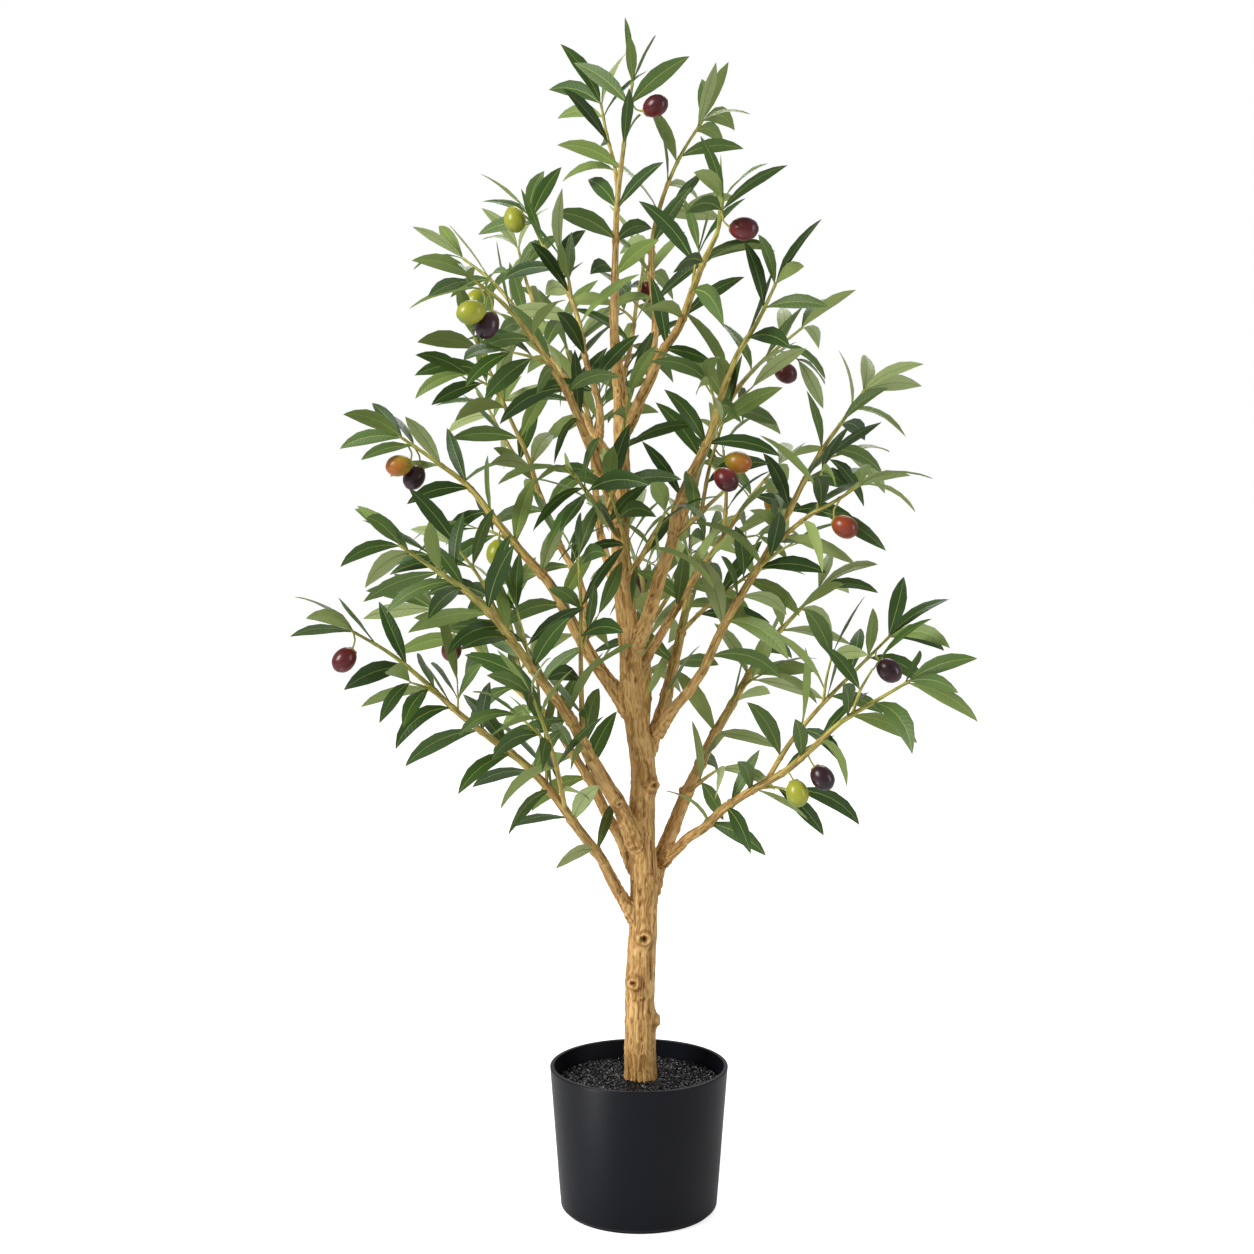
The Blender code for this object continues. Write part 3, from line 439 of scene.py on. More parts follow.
# Shoots of each mass of foliage: the first is its stem, the others leave the stem
shootRow = namedtuple("shootRow", "parent at heading reach rise bow sway footRadius")
sprayRow = namedtuple("sprayRow", "name limb at turn seed shoots")
sprayRows = (
    sprayRow("spray_low_left", "bough_low_left", 1.0, 0, 11, (
        shootRow(None, 0, 200, 0.254, 0.243, 0.017, 0.001, 0.0053),
        shootRow(0, 0.19, 252, 0.096, 0.130, 0.003, 0.003, 0.0028),
    )),
    sprayRow("spray_low_right_inner", "bough_low_right", 1.0, 0, 12, (
        shootRow(None, 0, 33, 0.160, 0.186, 0.010, 0.006, 0.0059),
    )),
    sprayRow("spray_low_right_twig", "bough_low_right", 0.865, 40, 13, (
        shootRow(None, 0, 295, 0.066, 0.034, 0.003, 0.002, 0.0026),
    )),
    sprayRow("spray_low_right_outer", "bough_low_right_outer", 1.0, 0, 14, (
        shootRow(None, 0, 321, 0.242, 0.171, 0.002, -0.007, 0.0048),
        shootRow(0, 0.34, 344, 0.119, 0.146, 0.007, -0.001, 0.0028),
    )),
    sprayRow("spray_mid_left", "bough_mid_left", 1.0, 0, 15, (
        shootRow(None, 0, 215, 0.212, 0.218, 0.020, 0.002, 0.0064),
        shootRow(0, 0.44, 171, 0.063, 0.103, 0.002, 0.000, 0.0024),
        shootRow(0, 0.06, 262, 0.022, 0.185, 0.003, 0.000, 0.0030),
    )),
    sprayRow("spray_left", "bough_left", 1.0, 0, 16, (
        shootRow(None, 0, 177, 0.170, 0.182, 0.014, -0.006, 0.0056),
    )),
    sprayRow("spray_upper_left", "bough_left_upright", 1.0, 0, 17, (
        shootRow(None, 0, 129, 0.160, 0.177, 0.009, 0.005, 0.0037),
        shootRow(0, 0.43, 200, 0.070, 0.163, 0.003, 0.001, 0.0026),
    )),
    sprayRow("spray_high_left", "bough_high_left", 1.0, 20, 18, (
        shootRow(None, 0, 233, 0.163, 0.141, 0.015, 0.003, 0.0043),
    )),
    sprayRow("spray_high_left_upright", "bough_high_left_upright", 1.0, 0, 19, (
        shootRow(None, 0, 129, 0.114, 0.190, 0.017, 0.005, 0.0034),
    )),
    sprayRow("spray_back_left", "bough_back_left", 1.0, 0, 20, (
        shootRow(None, 0, 104, 0.200, 0.225, 0.006, -0.007, 0.0042),
        shootRow(0, 0.55, 150, 0.069, 0.070, 0.003, 0.000, 0.0022),
    )),
    sprayRow("spray_front_left", "trunk", 0.691, 70, 21, (
        shootRow(None, 0, 247, 0.131, 0.078, 0.004, -0.002, 0.0030),
        shootRow(0, 0.30, 322, 0.030, 0.118, 0.002, 0.010, 0.0024),
    )),
    sprayRow("spray_mid_right", "bough_mid_right", 1.0, 0, 22, (
        shootRow(None, 0, 78, 0.150, 0.165, 0.017, -0.011, 0.0063),
        shootRow(0, 0.37, 324, 0.085, 0.066, 0.003, 0.001, 0.0026),
    )),
    sprayRow("spray_right", "bough_right", 1.0, 0, 23, (
        shootRow(None, 0, 26, 0.187, 0.280, 0.025, -0.035, 0.0047),
        shootRow(0, 0.39, 306, 0.137, 0.073, 0.004, -0.001, 0.0028),
    )),
    sprayRow("spray_high_right", "bough_high_right", 1.0, 0, 24, (
        shootRow(None, 0, 316, 0.126, 0.219, 0.006, 0.002, 0.0052),
    )),
    sprayRow("spray_high_right_back", "bough_high_right_back", 1.0, 0, 25, (
        shootRow(None, 0, 53, 0.207, 0.174, 0.016, 0.013, 0.0039),
    )),
    sprayRow("spray_high_right_twig", "bough_high_right", 0.823, 0, 26, (
        shootRow(None, 0, 333, 0.070, 0.062, 0.002, 0.000, 0.0028),
        shootRow(0, 0.45, 350, 0.020, 0.085, 0.002, 0.002, 0.0022),
    )),
    sprayRow("spray_front_right", "trunk", 0.636, 70, 27, (
        shootRow(None, 0, 292, 0.108, 0.077, 0.003, 0.005, 0.0036),
        shootRow(0, 0.16, 240, 0.042, 0.080, 0.003, 0.000, 0.0024),
    )),
    sprayRow("spray_top_right", "bough_top_right", 1.0, 30, 28, (
        shootRow(None, 0, 292, 0.148, 0.140, 0.004, 0.011, 0.0045),
    )),
    sprayRow("spray_top_right_back", "bough_top_right_back", 1.0, 0, 29, (
        shootRow(None, 0, 63, 0.109, 0.201, 0.002, 0.024, 0.0035),
    )),
    sprayRow("spray_top_back", "trunk", 0.875, 0, 30, (
        shootRow(None, 0, 81, 0.162, 0.148, 0.004, -0.004, 0.0028),
    )),
    sprayRow("spray_leader", "trunk", 1.0, 0, 31, (
        shootRow(None, 0, 48, 0.027, 0.204, 0.003, 0.003, 0.0036),
        shootRow(0, 0.43, 112, 0.045, 0.097, 0.002, -0.001, 0.0021),
    )),
    sprayRow("spray_back_low", "bough_back_low", 1.0, 0, 32, (
        shootRow(None, 0, 96, 0.192, 0.176, 0.008, -0.010, 0.0052),
        shootRow(0, 0.42, 52, 0.114, 0.095, 0.004, -0.004, 0.0028),
    )),
    sprayRow("spray_back_low_left", "bough_back_low_left", 1.0, 0, 33, (
        shootRow(None, 0, 156, 0.190, 0.180, 0.013, -0.001, 0.0049),
        shootRow(0, 0.46, 115, 0.081, 0.104, 0.003, -0.002, 0.0026),
    )),
    sprayRow("spray_back_right", "bough_back_right", 1.0, 0, 34, (
        shootRow(None, 0, 51, 0.193, 0.154, 0.012, -0.006, 0.0041),
        shootRow(0, 0.47, 88, 0.075, 0.090, 0.003, -0.003, 0.0024),
    )),
    sprayRow("spray_back_high", "bough_back_high", 1.0, 0, 35, (
        shootRow(None, 0, 145, 0.153, 0.161, 0.010, -0.008, 0.0039),
        shootRow(0, 0.43, 105, 0.087, 0.099, 0.003, -0.002, 0.0024),
    )),
)


def blend(stations, part):
    # a value on the Catmull-Rom curve through the middle two of four stations
    before, near, far, after = stations
    return 0.5 * (
        2.0 * near
        + (far - before) * part
        + (2.0 * before - 5.0 * near + 4.0 * far - after) * part ** 2
        + (3.0 * near - before - 3.0 * far + after) * part ** 3
    )


class growPath:
    # a tapering centreline: points, a radius at each, and the distance run to each
    def __init__(self, points, radii=None):
        self.points = points
        self.radii = radii
        self.runs = [0.0]
        for near, far in zip(points, points[1:]):
            self.runs.append(self.runs[-1] + (far - near).length)
        self.length = self.runs[-1]

    def piece(self, fraction):
        run = min(max(fraction, 0.0), 1.0) * self.length
        index = 0
        while index < len(self.points) - 2 and self.runs[index + 1] < run:
            index += 1
        span = self.runs[index + 1] - self.runs[index]
        return index, (run - self.runs[index]) / span

    def point(self, fraction):
        index, part = self.piece(fraction)
        return self.points[index].lerp(self.points[index + 1], part)

    def tangent(self, fraction):
        index, part = self.piece(fraction)
        return (self.points[index + 1] - self.points[index]).normalized()

    def radius(self, fraction):
        index, part = self.piece(fraction)
        return self.radii[index] + (self.radii[index + 1] - self.radii[index]) * part

    def softSlope(self, index):
        last = len(self.points) - 1
        return (self.points[min(index + 1, last)] - self.points[max(index - 1, 0)]).normalized()

    def softPoint(self, fraction):
        # the same place on a smooth curve through the points
        index, part = self.piece(fraction)
        near, far = self.points[index], self.points[index + 1]
        span = (far - near).length
        square, cube = part ** 2, part ** 3
        leave = self.softSlope(index) * (span * (cube - 2.0 * square + part))
        arrive = self.softSlope(index + 1) * (span * (cube - square))
        return near * (2.0 * cube - 3.0 * square + 1.0) + far * (3.0 * square - 2.0 * cube) + leave + arrive


def headingVector(degrees):
    return Vector((math.cos(math.radians(degrees)), math.sin(math.radians(degrees)), 0.0))


def makeTrunkPath():
    rows = [trunkRows[0]] + list(trunkRows) + [trunkRows[-1]]
    steps = growth["trunkSteps"]
    points = []
    radii = []
    for step in range(steps + 1):
        height = trunkRows[0][0] + (trunkRows[-1][0] - trunkRows[0][0]) * step / steps
        index = 1
        while index < len(trunkRows) - 1 and trunkRows[index][0] < height:
            index += 1
        part = (height - trunkRows[index - 1][0]) / (trunkRows[index][0] - trunkRows[index - 1][0])
        nearRows = rows[index - 1:index + 3]
        right, back, radius = (blend([row[field] for row in nearRows], part) for field in (1, 2, 3))
        points.append(Vector((right, back, height)))
        radii.append(radius)
    points.insert(1, points[0] + upward * growth["footStep"])
    radii.insert(1, radii[0])
    return growPath(points, radii)


def limbPoints(foot, row, steps, wander):
    # the centreline of a limb or shoot from its foot, with a slight wander along it
    out = headingVector(row.heading)
    side = upward.cross(out)
    chord = out * row.reach + upward * row.rise
    lift = chord.cross(side).normalized()
    points = []
    for step in range(steps + 1):
        part = step / steps
        belly = 4.0 * part * (1.0 - part)
        wave = wander * chord.length * math.sin(3.0 * math.pi * part + row.heading)
        offset = lift * (row.bow + wave) + side * (row.sway - 0.6 * wave)
        points.append(foot + chord * part + offset * belly)
    return points


def makeBoughPath(row, parent):
    # a bough starts on its parent's axis, thin inside it and swollen where it comes out
    foot = parent.point(row.at)
    within = parent.radius(row.at)
    steps = max(4, round(math.hypot(row.reach, row.rise) / growth["boughStep"]))
    path = growPath(limbPoints(foot, row, steps, growth["boughWander"]))
    path.radii = [boughRadius(path, run, row, within) for run in path.runs]
    return path


def boughRadius(path, run, row, within):
    left = (1.0 - run / path.length) ** growth["boughTaper"]
    taper = row.tipRadius + (row.footRadius - row.tipRadius) * left
    collar = 1.0 + growth["collarSwell"] * math.exp(-max(0.0, run - 1.7 * within) / growth["collarFade"])
    root = min(1.0, growth["rootShare"] + (1.0 - growth["rootShare"]) * run / (1.4 * within))
    return taper * collar * root


def makeShootPath(row, foot, lead=None, tipRadius=growth["shootTip"]):
    # a leafy shoot; with a lead, its first few millimetres run straight on along that
    steps = max(2, round(math.hypot(row.reach, row.rise) / growth["shootStep"]))
    points = limbPoints(foot, row, steps, growth["shootWander"])
    if lead:
        points.insert(1, foot + lead * growth["shootLead"])
    path = growPath(points)
    spread = row.footRadius - tipRadius
    taper = growth["shootTaper"]
    path.radii = [tipRadius + spread * (1.0 - run / path.length) ** taper for run in path.runs]
    return path


def sprayPaths(spray, limb):
    shoots = []
    for row in spray.shoots:
        if row.parent is not None:
            shoots.append(makeShootPath(row, shoots[row.parent].point(row.at)))
        elif spray.at == 1.0:
            lead = limb.tangent(1.0)
            shoots.append(makeShootPath(row, limb.points[-1] + lead * growth["gap"], lead))
        else:
            shoots.append(makeShootPath(row, limb.point(spray.at)))
    return shoots


# Leaves: how they are dealt out along a shoot, as in the model; angles in degrees
leafRule = dict(
    length=0.078, widthRatio=0.265, thickRatio=0.026,
    step=0.033, fan=38.0, fanJitter=16.0,
    opening=50.0, openingLoss=16.0, openingJitter=8.0,
    bendLeast=12.0, bendMost=62.0, bendDraw=(0.35, 1.15), droopAside=0.45, roll=48.0,
    lengthDraw=(0.86, 1.12), widthDraw=(0.92, 1.08), rootSunk=0.6,
    pairShift=0.004, stepDraw=(0.85, 1.2), tipShrink=0.22,
    tuftPlace=0.985, tuftSize=0.92, tuftOpenings=(13.0, 22.0), shootTuft=4, twigletTuft=3,
    draws=7, drawShrink=0.03,
    bareStem=0.016, bareFork=0.030, bareTwiglet=0.020, bareTip=0.010,
    guardParts=(0.16, 0.46, 0.78, 1.02), guardWidths=(0.45, 1.0, 0.72, 0.1), guardMargin=0.0011,
)
twigletRule = dict(
    every=0.135, last=0.86, length=0.042, draw=(0.8, 1.3),
    opening=0.62, along=0.78, lift=0.12, radius=0.0019, tipRadius=0.0010,
)

leafRow = namedtuple("leafRow", "root start fall bend face length width")
obstacleRow = namedtuple("obstacleRow", "owner centre reach tree")


def probeTube(path, sides):
    # the model's own coarse tube along a path, used only to keep leaves clear of it
    curve = bpy.data.curves.new("probe", "CURVE")
    curve.dimensions = "3D"
    curve.twist_mode = "MINIMUM"
    curve.use_fill_caps = True
    outline = None
    if sides == 3:
        section = bpy.data.curves.new("section", "CURVE")
        section.dimensions = "2D"
        ring = section.splines.new("POLY")
        ring.points.add(2)
        for corner, point in enumerate(ring.points):
            turn = 2.0 * math.pi * corner / 3.0
            point.co = (math.cos(turn), math.sin(turn), 0.0, 1.0)
        ring.use_cyclic_u = True
        outline = bpy.data.objects.new("section", section)
        bpy.context.scene.collection.objects.link(outline)
        curve.bevel_mode = "OBJECT"
        curve.bevel_object = outline
    else:
        curve.bevel_depth = 1.0
        curve.bevel_resolution = (sides - 4) // 2
    spline = curve.splines.new("POLY")
    spline.points.add(len(path.points) - 1)
    for knot, point, radius in zip(spline.points, path.points, path.radii):
        knot.co = (*point, 1.0)
        knot.radius = radius
    holder = bpy.data.objects.new("probe", curve)
    bpy.context.scene.collection.objects.link(holder)
    graph = bpy.context.evaluated_depsgraph_get()
    mesh = bpy.data.meshes.new_from_object(holder.evaluated_get(graph))
    bpy.data.objects.remove(holder, do_unlink=True)
    bpy.data.curves.remove(curve)
    if outline:
        section = outline.data
        bpy.data.objects.remove(outline, do_unlink=True)
        bpy.data.curves.remove(section)
    return mesh


def meshObstacle(owner, mesh):
    corners = [corner.co.copy() for corner in mesh.vertices]
    faces = [tuple(face.vertices) for face in mesh.polygons]
    centre = sum(corners, Vector()) / len(corners)
    reach = max((corner - centre).length for corner in corners)
    return obstacleRow(owner, centre, reach, BVHTree.FromPolygons(corners, faces))


def isFree(wanted, obstacles, own):
    for other in obstacles:
        if other.owner == own:
            continue
        if (other.centre - wanted.centre).length > other.reach + wanted.reach:
            continue
        if other.tree.overlap(wanted.tree):
            return False
    return True


def leafFrame(leaf, part):
    # point, direction, width direction and normal of a leaf's rib
    bend = leaf.bend * part
    arm = leaf.length / leaf.bend
    point = leaf.root + leaf.start * (arm * math.sin(bend)) + leaf.fall * (arm * (1.0 - math.cos(bend)))
    along = leaf.start * math.cos(bend) + leaf.fall * math.sin(bend)
    across = along.cross(leaf.face).normalized()
    return point, along, across, along.cross(across)


def leafGuard(leaf):
    # the space that a leaf needs, as a search tree
    halfThick = leaf.length * leafRule["thickRatio"] / 2.0 + leafRule["guardMargin"]
    corners = []
    for part, share in zip(leafRule["guardParts"], leafRule["guardWidths"]):
        point, along, across, normal = leafFrame(leaf, part)
        halfWidth = share * leaf.width / 2.0 + leafRule["guardMargin"]
        for turnX, turnY in ((1, 0), (0, 1), (-1, 0), (0, -1)):
            corners.append(point + across * (halfWidth * turnX) + normal * (halfThick * turnY))
    faces = []
    for ring in range(len(leafRule["guardParts"]) - 1):
        for side in range(4):
            near = ring * 4 + side
            far = ring * 4 + (side + 1) % 4
            faces.append((near, far, far + 4, near + 4))
    last = 4 * (len(leafRule["guardParts"]) - 1)
    faces.append((3, 2, 1, 0))
    faces.append((last, last + 1, last + 2, last + 3))
    return BVHTree.FromPolygons(corners, faces)


def placeLeaf(path, fraction, fan, opening, size, chance):
    # one leaf by the seeded rule: it opens from the shoot and its tip droops
    along = path.tangent(fraction)
    side = upward.cross(along)
    side = side.normalized() if side.length > 0.05 else Vector((1.0, 0.0, 0.0))
    lift = along.cross(side)
    turn = math.radians(fan + chance.uniform(-leafRule["fanJitter"], leafRule["fanJitter"]))
    aside = lift * math.cos(turn) + side * math.sin(turn)
    jitter = chance.uniform(-leafRule["openingJitter"], leafRule["openingJitter"])
    angle = math.radians(opening + jitter)
    start = along * math.cos(angle) + aside * math.sin(angle)
    level = math.sqrt(max(0.0, 1.0 - start.z ** 2))
    draw = chance.uniform(*leafRule["bendDraw"])
    bend = math.radians(leafRule["bendLeast"] + leafRule["bendMost"] * level * draw)
    if start.z < 0.0:
        bend *= 0.6
    fall = -upward + aside * leafRule["droopAside"]
    fall -= start * fall.dot(start)
    fall.normalize()
    face = along.cross(aside)
    face.rotate(Quaternion(start, math.radians(chance.uniform(-leafRule["roll"], leafRule["roll"]))))
    length = leafRule["length"] * size * chance.uniform(*leafRule["lengthDraw"])
    width = length * leafRule["widthRatio"] * chance.uniform(*leafRule["widthDraw"])
    root = path.point(fraction) - start * (leafRule["rootSunk"] * path.radius(fraction))
    return leafRow(root, start, fall, bend, face, length, width)


def tryLeaf(path, owner, fraction, fan, opening, size, chance, crown):
    for draw in range(leafRule["draws"]):
        shrink = 1.0 - leafRule["drawShrink"] * draw
        leaf = placeLeaf(path, fraction, fan, opening, size * shrink, chance)
        space = obstacleRow("leaf", leafFrame(leaf, 0.5)[0], 0.56 * leaf.length, leafGuard(leaf))
        if crown.inside(leaf) and isFree(space, crown.obstacles, owner):
            crown.obstacles.append(space)
            crown.addLeaf(leaf, path, fraction)
            return


def clotheShoot(path, owner, bare, turn, tufts, chance, crown):
    # pairs of leaves along a shoot, each pair turned from the last, and a tuft at its tip
    station = bare
    pair = 0
    while station < path.length - leafRule["bareTip"]:
        fraction = station / path.length
        fan = turn + (leafRule["fan"] if pair % 2 else -leafRule["fan"])
        opening = leafRule["opening"] - leafRule["openingLoss"] * fraction
        size = 1.0 - leafRule["tipShrink"] * max(0.0, fraction - 0.6)
        for half in (0.0, 180.0):
            shift = chance.uniform(-leafRule["pairShift"], leafRule["pairShift"]) / path.length
            tryLeaf(path, owner, fraction + shift, fan + half, opening, size, chance, crown)
        station += leafRule["step"] * chance.uniform(*leafRule["stepDraw"])
        pair += 1
    for tuft in range(tufts):
        fan = turn + 45.0 + 360.0 / tufts * tuft
        opening = leafRule["tuftOpenings"][tuft % 2]
        tryLeaf(path, owner, leafRule["tuftPlace"], fan, opening, leafRule["tuftSize"], chance, crown)


def makeTwiglets(name, paths, chance, crown, rule, kind):
    # short side twigs along the shoots, at alternate sides, where there is room for them
    twiglets = []
    for index, path in enumerate(paths):
        parent = "%s_%d" % (name, index)
        for number in range(int(path.length / rule["every"])):
            fraction = (number + 0.75 + chance.uniform(-0.15, 0.15)) * rule["every"] / path.length
            if fraction > rule["last"]:
                continue
            along = path.tangent(fraction)
            draw = (chance.uniform(-1.0, 1.0), chance.uniform(-1.0, 1.0), chance.uniform(-0.4, 0.4))
            aside = along.cross(Vector(draw)).normalized()
            opening = rule["opening"] if number % 2 else -rule["opening"]
            course = along * rule["along"] + aside * opening + upward * rule["lift"]
            course *= rule["length"] * chance.uniform(*rule["draw"]) / course.length
            heading = math.degrees(math.atan2(course.y, course.x))
            reach = math.hypot(course.x, course.y)
            radius = min(rule["radius"], 0.8 * path.radius(fraction))
            row = shootRow(index, fraction, heading, reach, course.z, 0.002, 0.0, radius)
            twiglet = makeShootPath(row, path.point(fraction), tipRadius=rule["tipRadius"])
            owner = "%s_%s_%d" % (name, kind, len(twiglets))
            mesh = probeTube(twiglet, 3)
            space = meshObstacle(owner, mesh)
            bpy.data.meshes.remove(mesh)
            if isFree(space, crown.obstacles, parent):
                twiglets.append((twiglet, owner, path, fraction))
                crown.obstacles.append(space)
    return twiglets


# Olives: spray, shoot, place on it, heading and dip of the stalk, and how ripe each is
oliveRow = namedtuple("oliveRow", "spray shoot at heading dip ripeness")
oliveRows = (
    oliveRow("spray_leader", 0, 0.72, 330, 40, "burgundy"),
    oliveRow("spray_high_left_upright", 0, 0.98, 250, 55, "green"),
    oliveRow("spray_top_right", 0, 0.92, 330, 35, "burgundy"),
    oliveRow("spray_high_left", 0, 0.86, 300, 60, "green"),
    oliveRow("spray_high_left", 0, 0.81, 190, 70, "black"),
    oliveRow("spray_high_right_back", 0, 0.87, 300, 55, "burgundy"),
    oliveRow("spray_left", 0, 0.92, 260, 55, "amber"),
    oliveRow("spray_left", 0, 0.87, 230, 70, "black"),
    oliveRow("spray_left", 0, 0.46, 250, 60, "green"),
    oliveRow("spray_high_right_twig", 0, 0.92, 350, 20, "amber"),
    oliveRow("spray_high_right_twig", 0, 0.80, 290, 45, "burgundy"),
    oliveRow("spray_right", 1, 0.90, 300, 55, "red"),
    oliveRow("spray_low_right_outer", 1, 0.92, 320, 50, "black"),
    oliveRow("spray_low_right_outer", 0, 0.44, 330, 55, "green"),
    oliveRow("spray_low_right_outer", 0, 0.52, 300, 60, "black"),
    oliveRow("spray_low_left", 0, 0.90, 200, 55, "burgundy"),
    oliveRow("spray_back_low", 0, 0.81, 70, 50, "black"),
    oliveRow("spray_back_low_left", 0, 0.87, 120, 55, "burgundy"),
    oliveRow("spray_back_right", 0, 0.84, 30, 50, "amber"),
    oliveRow("spray_back_left", 0, 0.87, 150, 50, "black"),
    oliveRow("spray_back_high", 0, 0.83, 180, 50, "green"),
    oliveRow("spray_mid_right", 0, 0.87, 120, 55, "burgundy"),
    oliveRow("spray_top_back", 0, 0.85, 60, 50, "burgundy"),
)
# Where the photo shows an olive hanging elsewhere on its spray: shoot, place, heading, dip
oliveMoves = {
    0: (0, 0.90, 350, -20), 1: (0, 0.94, 230, -35), 2: (0, 0.92, 335, 15),
    3: (0, 0.95, 235, 55), 4: (0, 0.90, 265, 75), 5: (0, 0.84, 330, 62),
    6: (0, 0.97, 240, 50), 7: (0, 0.93, 230, 85), 9: (1, 0.72, 345, 5),
    10: (1, 0.55, 320, 20), 11: (1, 0.80, 310, 75), 12: (1, 0.90, 300, 20),
    13: (0, 0.43, 300, 25), 14: (0, 0.54, 345, 45), 15: (0, 0.99, 215, 60),
}
# How these lean in the picture, from stalk to tip, in degrees up from the right
oliveLeans = {
    0: 30, 1: -75, 2: -2, 3: 195, 4: 245, 5: -35, 6: 190, 7: 240,
    9: -15, 10: -42, 11: -28, 12: -40, 13: -75, 14: -52, 15: 230,
}
# Small shifts that keep neighbouring fruit from touching
oliveShifts = {4: (0.001, 0.005, -0.004), 7: (0.0, 0.005, -0.003), 10: (-0.002, -0.013, 0.003)}
oliveShape = dict(
    length=0.026, width=0.0215, stalk=0.017, stalkRadius=0.0011,
    sides=24, rings=16, tipPoint=0.035,
    middle=0.42,                # how far down the fruit its middle is taken to lie
    towardsEye=0.30,            # how far a leaned fruit tips toward the camera
)
# Room kept about a moved fruit: all round, in front of it, and the parts of a leaf that are looked at
fruitRoom = dict(clear=0.016, inFront=0.013, parts=(0.04, 0.15, 0.3, 0.45, 0.6, 0.75, 0.9))


def olivePlace(row, path):
    # where the stalk starts, bends and ends, and the way the fruit hangs
    out = headingVector(row.heading)
    dip = math.radians(row.dip)
    first = out * math.cos(dip) - upward * math.sin(dip)
    hang = (first * 0.55 - upward * 0.45).normalized()
    start = path.point(row.at)
    knee = start + first * (0.6 * oliveShape["stalk"])
    return start, knee, knee + hang * (0.4 * oliveShape["stalk"]), hang


def fruitMiddle(end, hang):
    return end + hang * (oliveShape["middle"] * oliveShape["length"])


def leanedPlace(index, row, path):
    # the same, with the fruit turned about its middle to lean as in the photograph
    start, knee, end, hang = olivePlace(row, path)
    if index not in oliveLeans:
        return start, knee, end, hang
    middle = fruitMiddle(end, hang) + Vector(oliveShifts.get(index, (0.0, 0.0, 0.0)))
    lean = math.radians(oliveLeans[index])
    aim = Vector((math.cos(lean), -oliveShape["towardsEye"], math.sin(lean))).normalized()
    end = middle - aim * (oliveShape["middle"] * oliveShape["length"])
    knee = start.lerp(end - aim * (0.35 * oliveShape["stalk"]), 0.6)
    return start, knee, end, aim


def hungOlives():
    # the olives as they hang in the end
    rows = []
    for index, row in enumerate(oliveRows):
        if index in oliveMoves:
            shoot, at, heading, dip = oliveMoves[index]
            row = row._replace(shoot=shoot, at=at, heading=heading, dip=dip)
        rows.append(row)
    return rows


def oliveObstacles(row, path):
    start, knee, end, hang = olivePlace(row, path)
    stalk = growPath([start, knee, end + hang * 0.003], [oliveShape["stalkRadius"]] * 3)
    shape = bmesh.new()
    bmesh.ops.create_uvsphere(shape, u_segments=6, v_segments=4, radius=1.0)
    halfWidth = oliveShape["width"] / 2.0
    size = Matrix.Diagonal((halfWidth, halfWidth, oliveShape["length"] / 2.0, 1.0))
    aim = hang.to_track_quat("Z", "Y").to_matrix().to_4x4()
    place = Matrix.Translation(fruitMiddle(end, hang)) @ aim
    bmesh.ops.transform(shape, matrix=place @ size, verts=shape.verts)
    rows = []
    for mesh in (probeTube(stalk, 3), keptMesh(shape, "probe")):
        rows.append(meshObstacle("olive", mesh))
        bpy.data.meshes.remove(mesh)
    return rows


# Finer growth that the model leaves out: small twigs with small leaves, within the crown's reach
fineRule = dict(
    every=0.26, last=0.93, length=0.030, draw=(0.75, 1.25),
    opening=0.75, along=0.60, lift=0.10, radius=0.0013, tipRadius=0.0007,
    bare=0.010, tuft=3, seedShift=100, margin=0.004,
)


class crownGrowth:
    # everything that grows: paths of shoots and twigs, leaves, and the space taken so far
    def __init__(self):
        self.obstacles = []
        self.leaves = []
        self.low, self.high = modelBox
        self.boxed = False

    def inside(self, leaf):
        # finer leaves stay within the model's own reach
        if not self.boxed:
            return True
        room = fineRule["margin"]
        tip = leafFrame(leaf, 1.0)[0]
        return all(low - room < value < high + room for low, value, high in zip(self.low, tip, self.high))

    def addLeaf(self, leaf, path, fraction):
        shift = path.softPoint(fraction) - path.point(fraction)
        self.leaves.append((leaf._replace(root=leaf.root + shift), fraction, path))


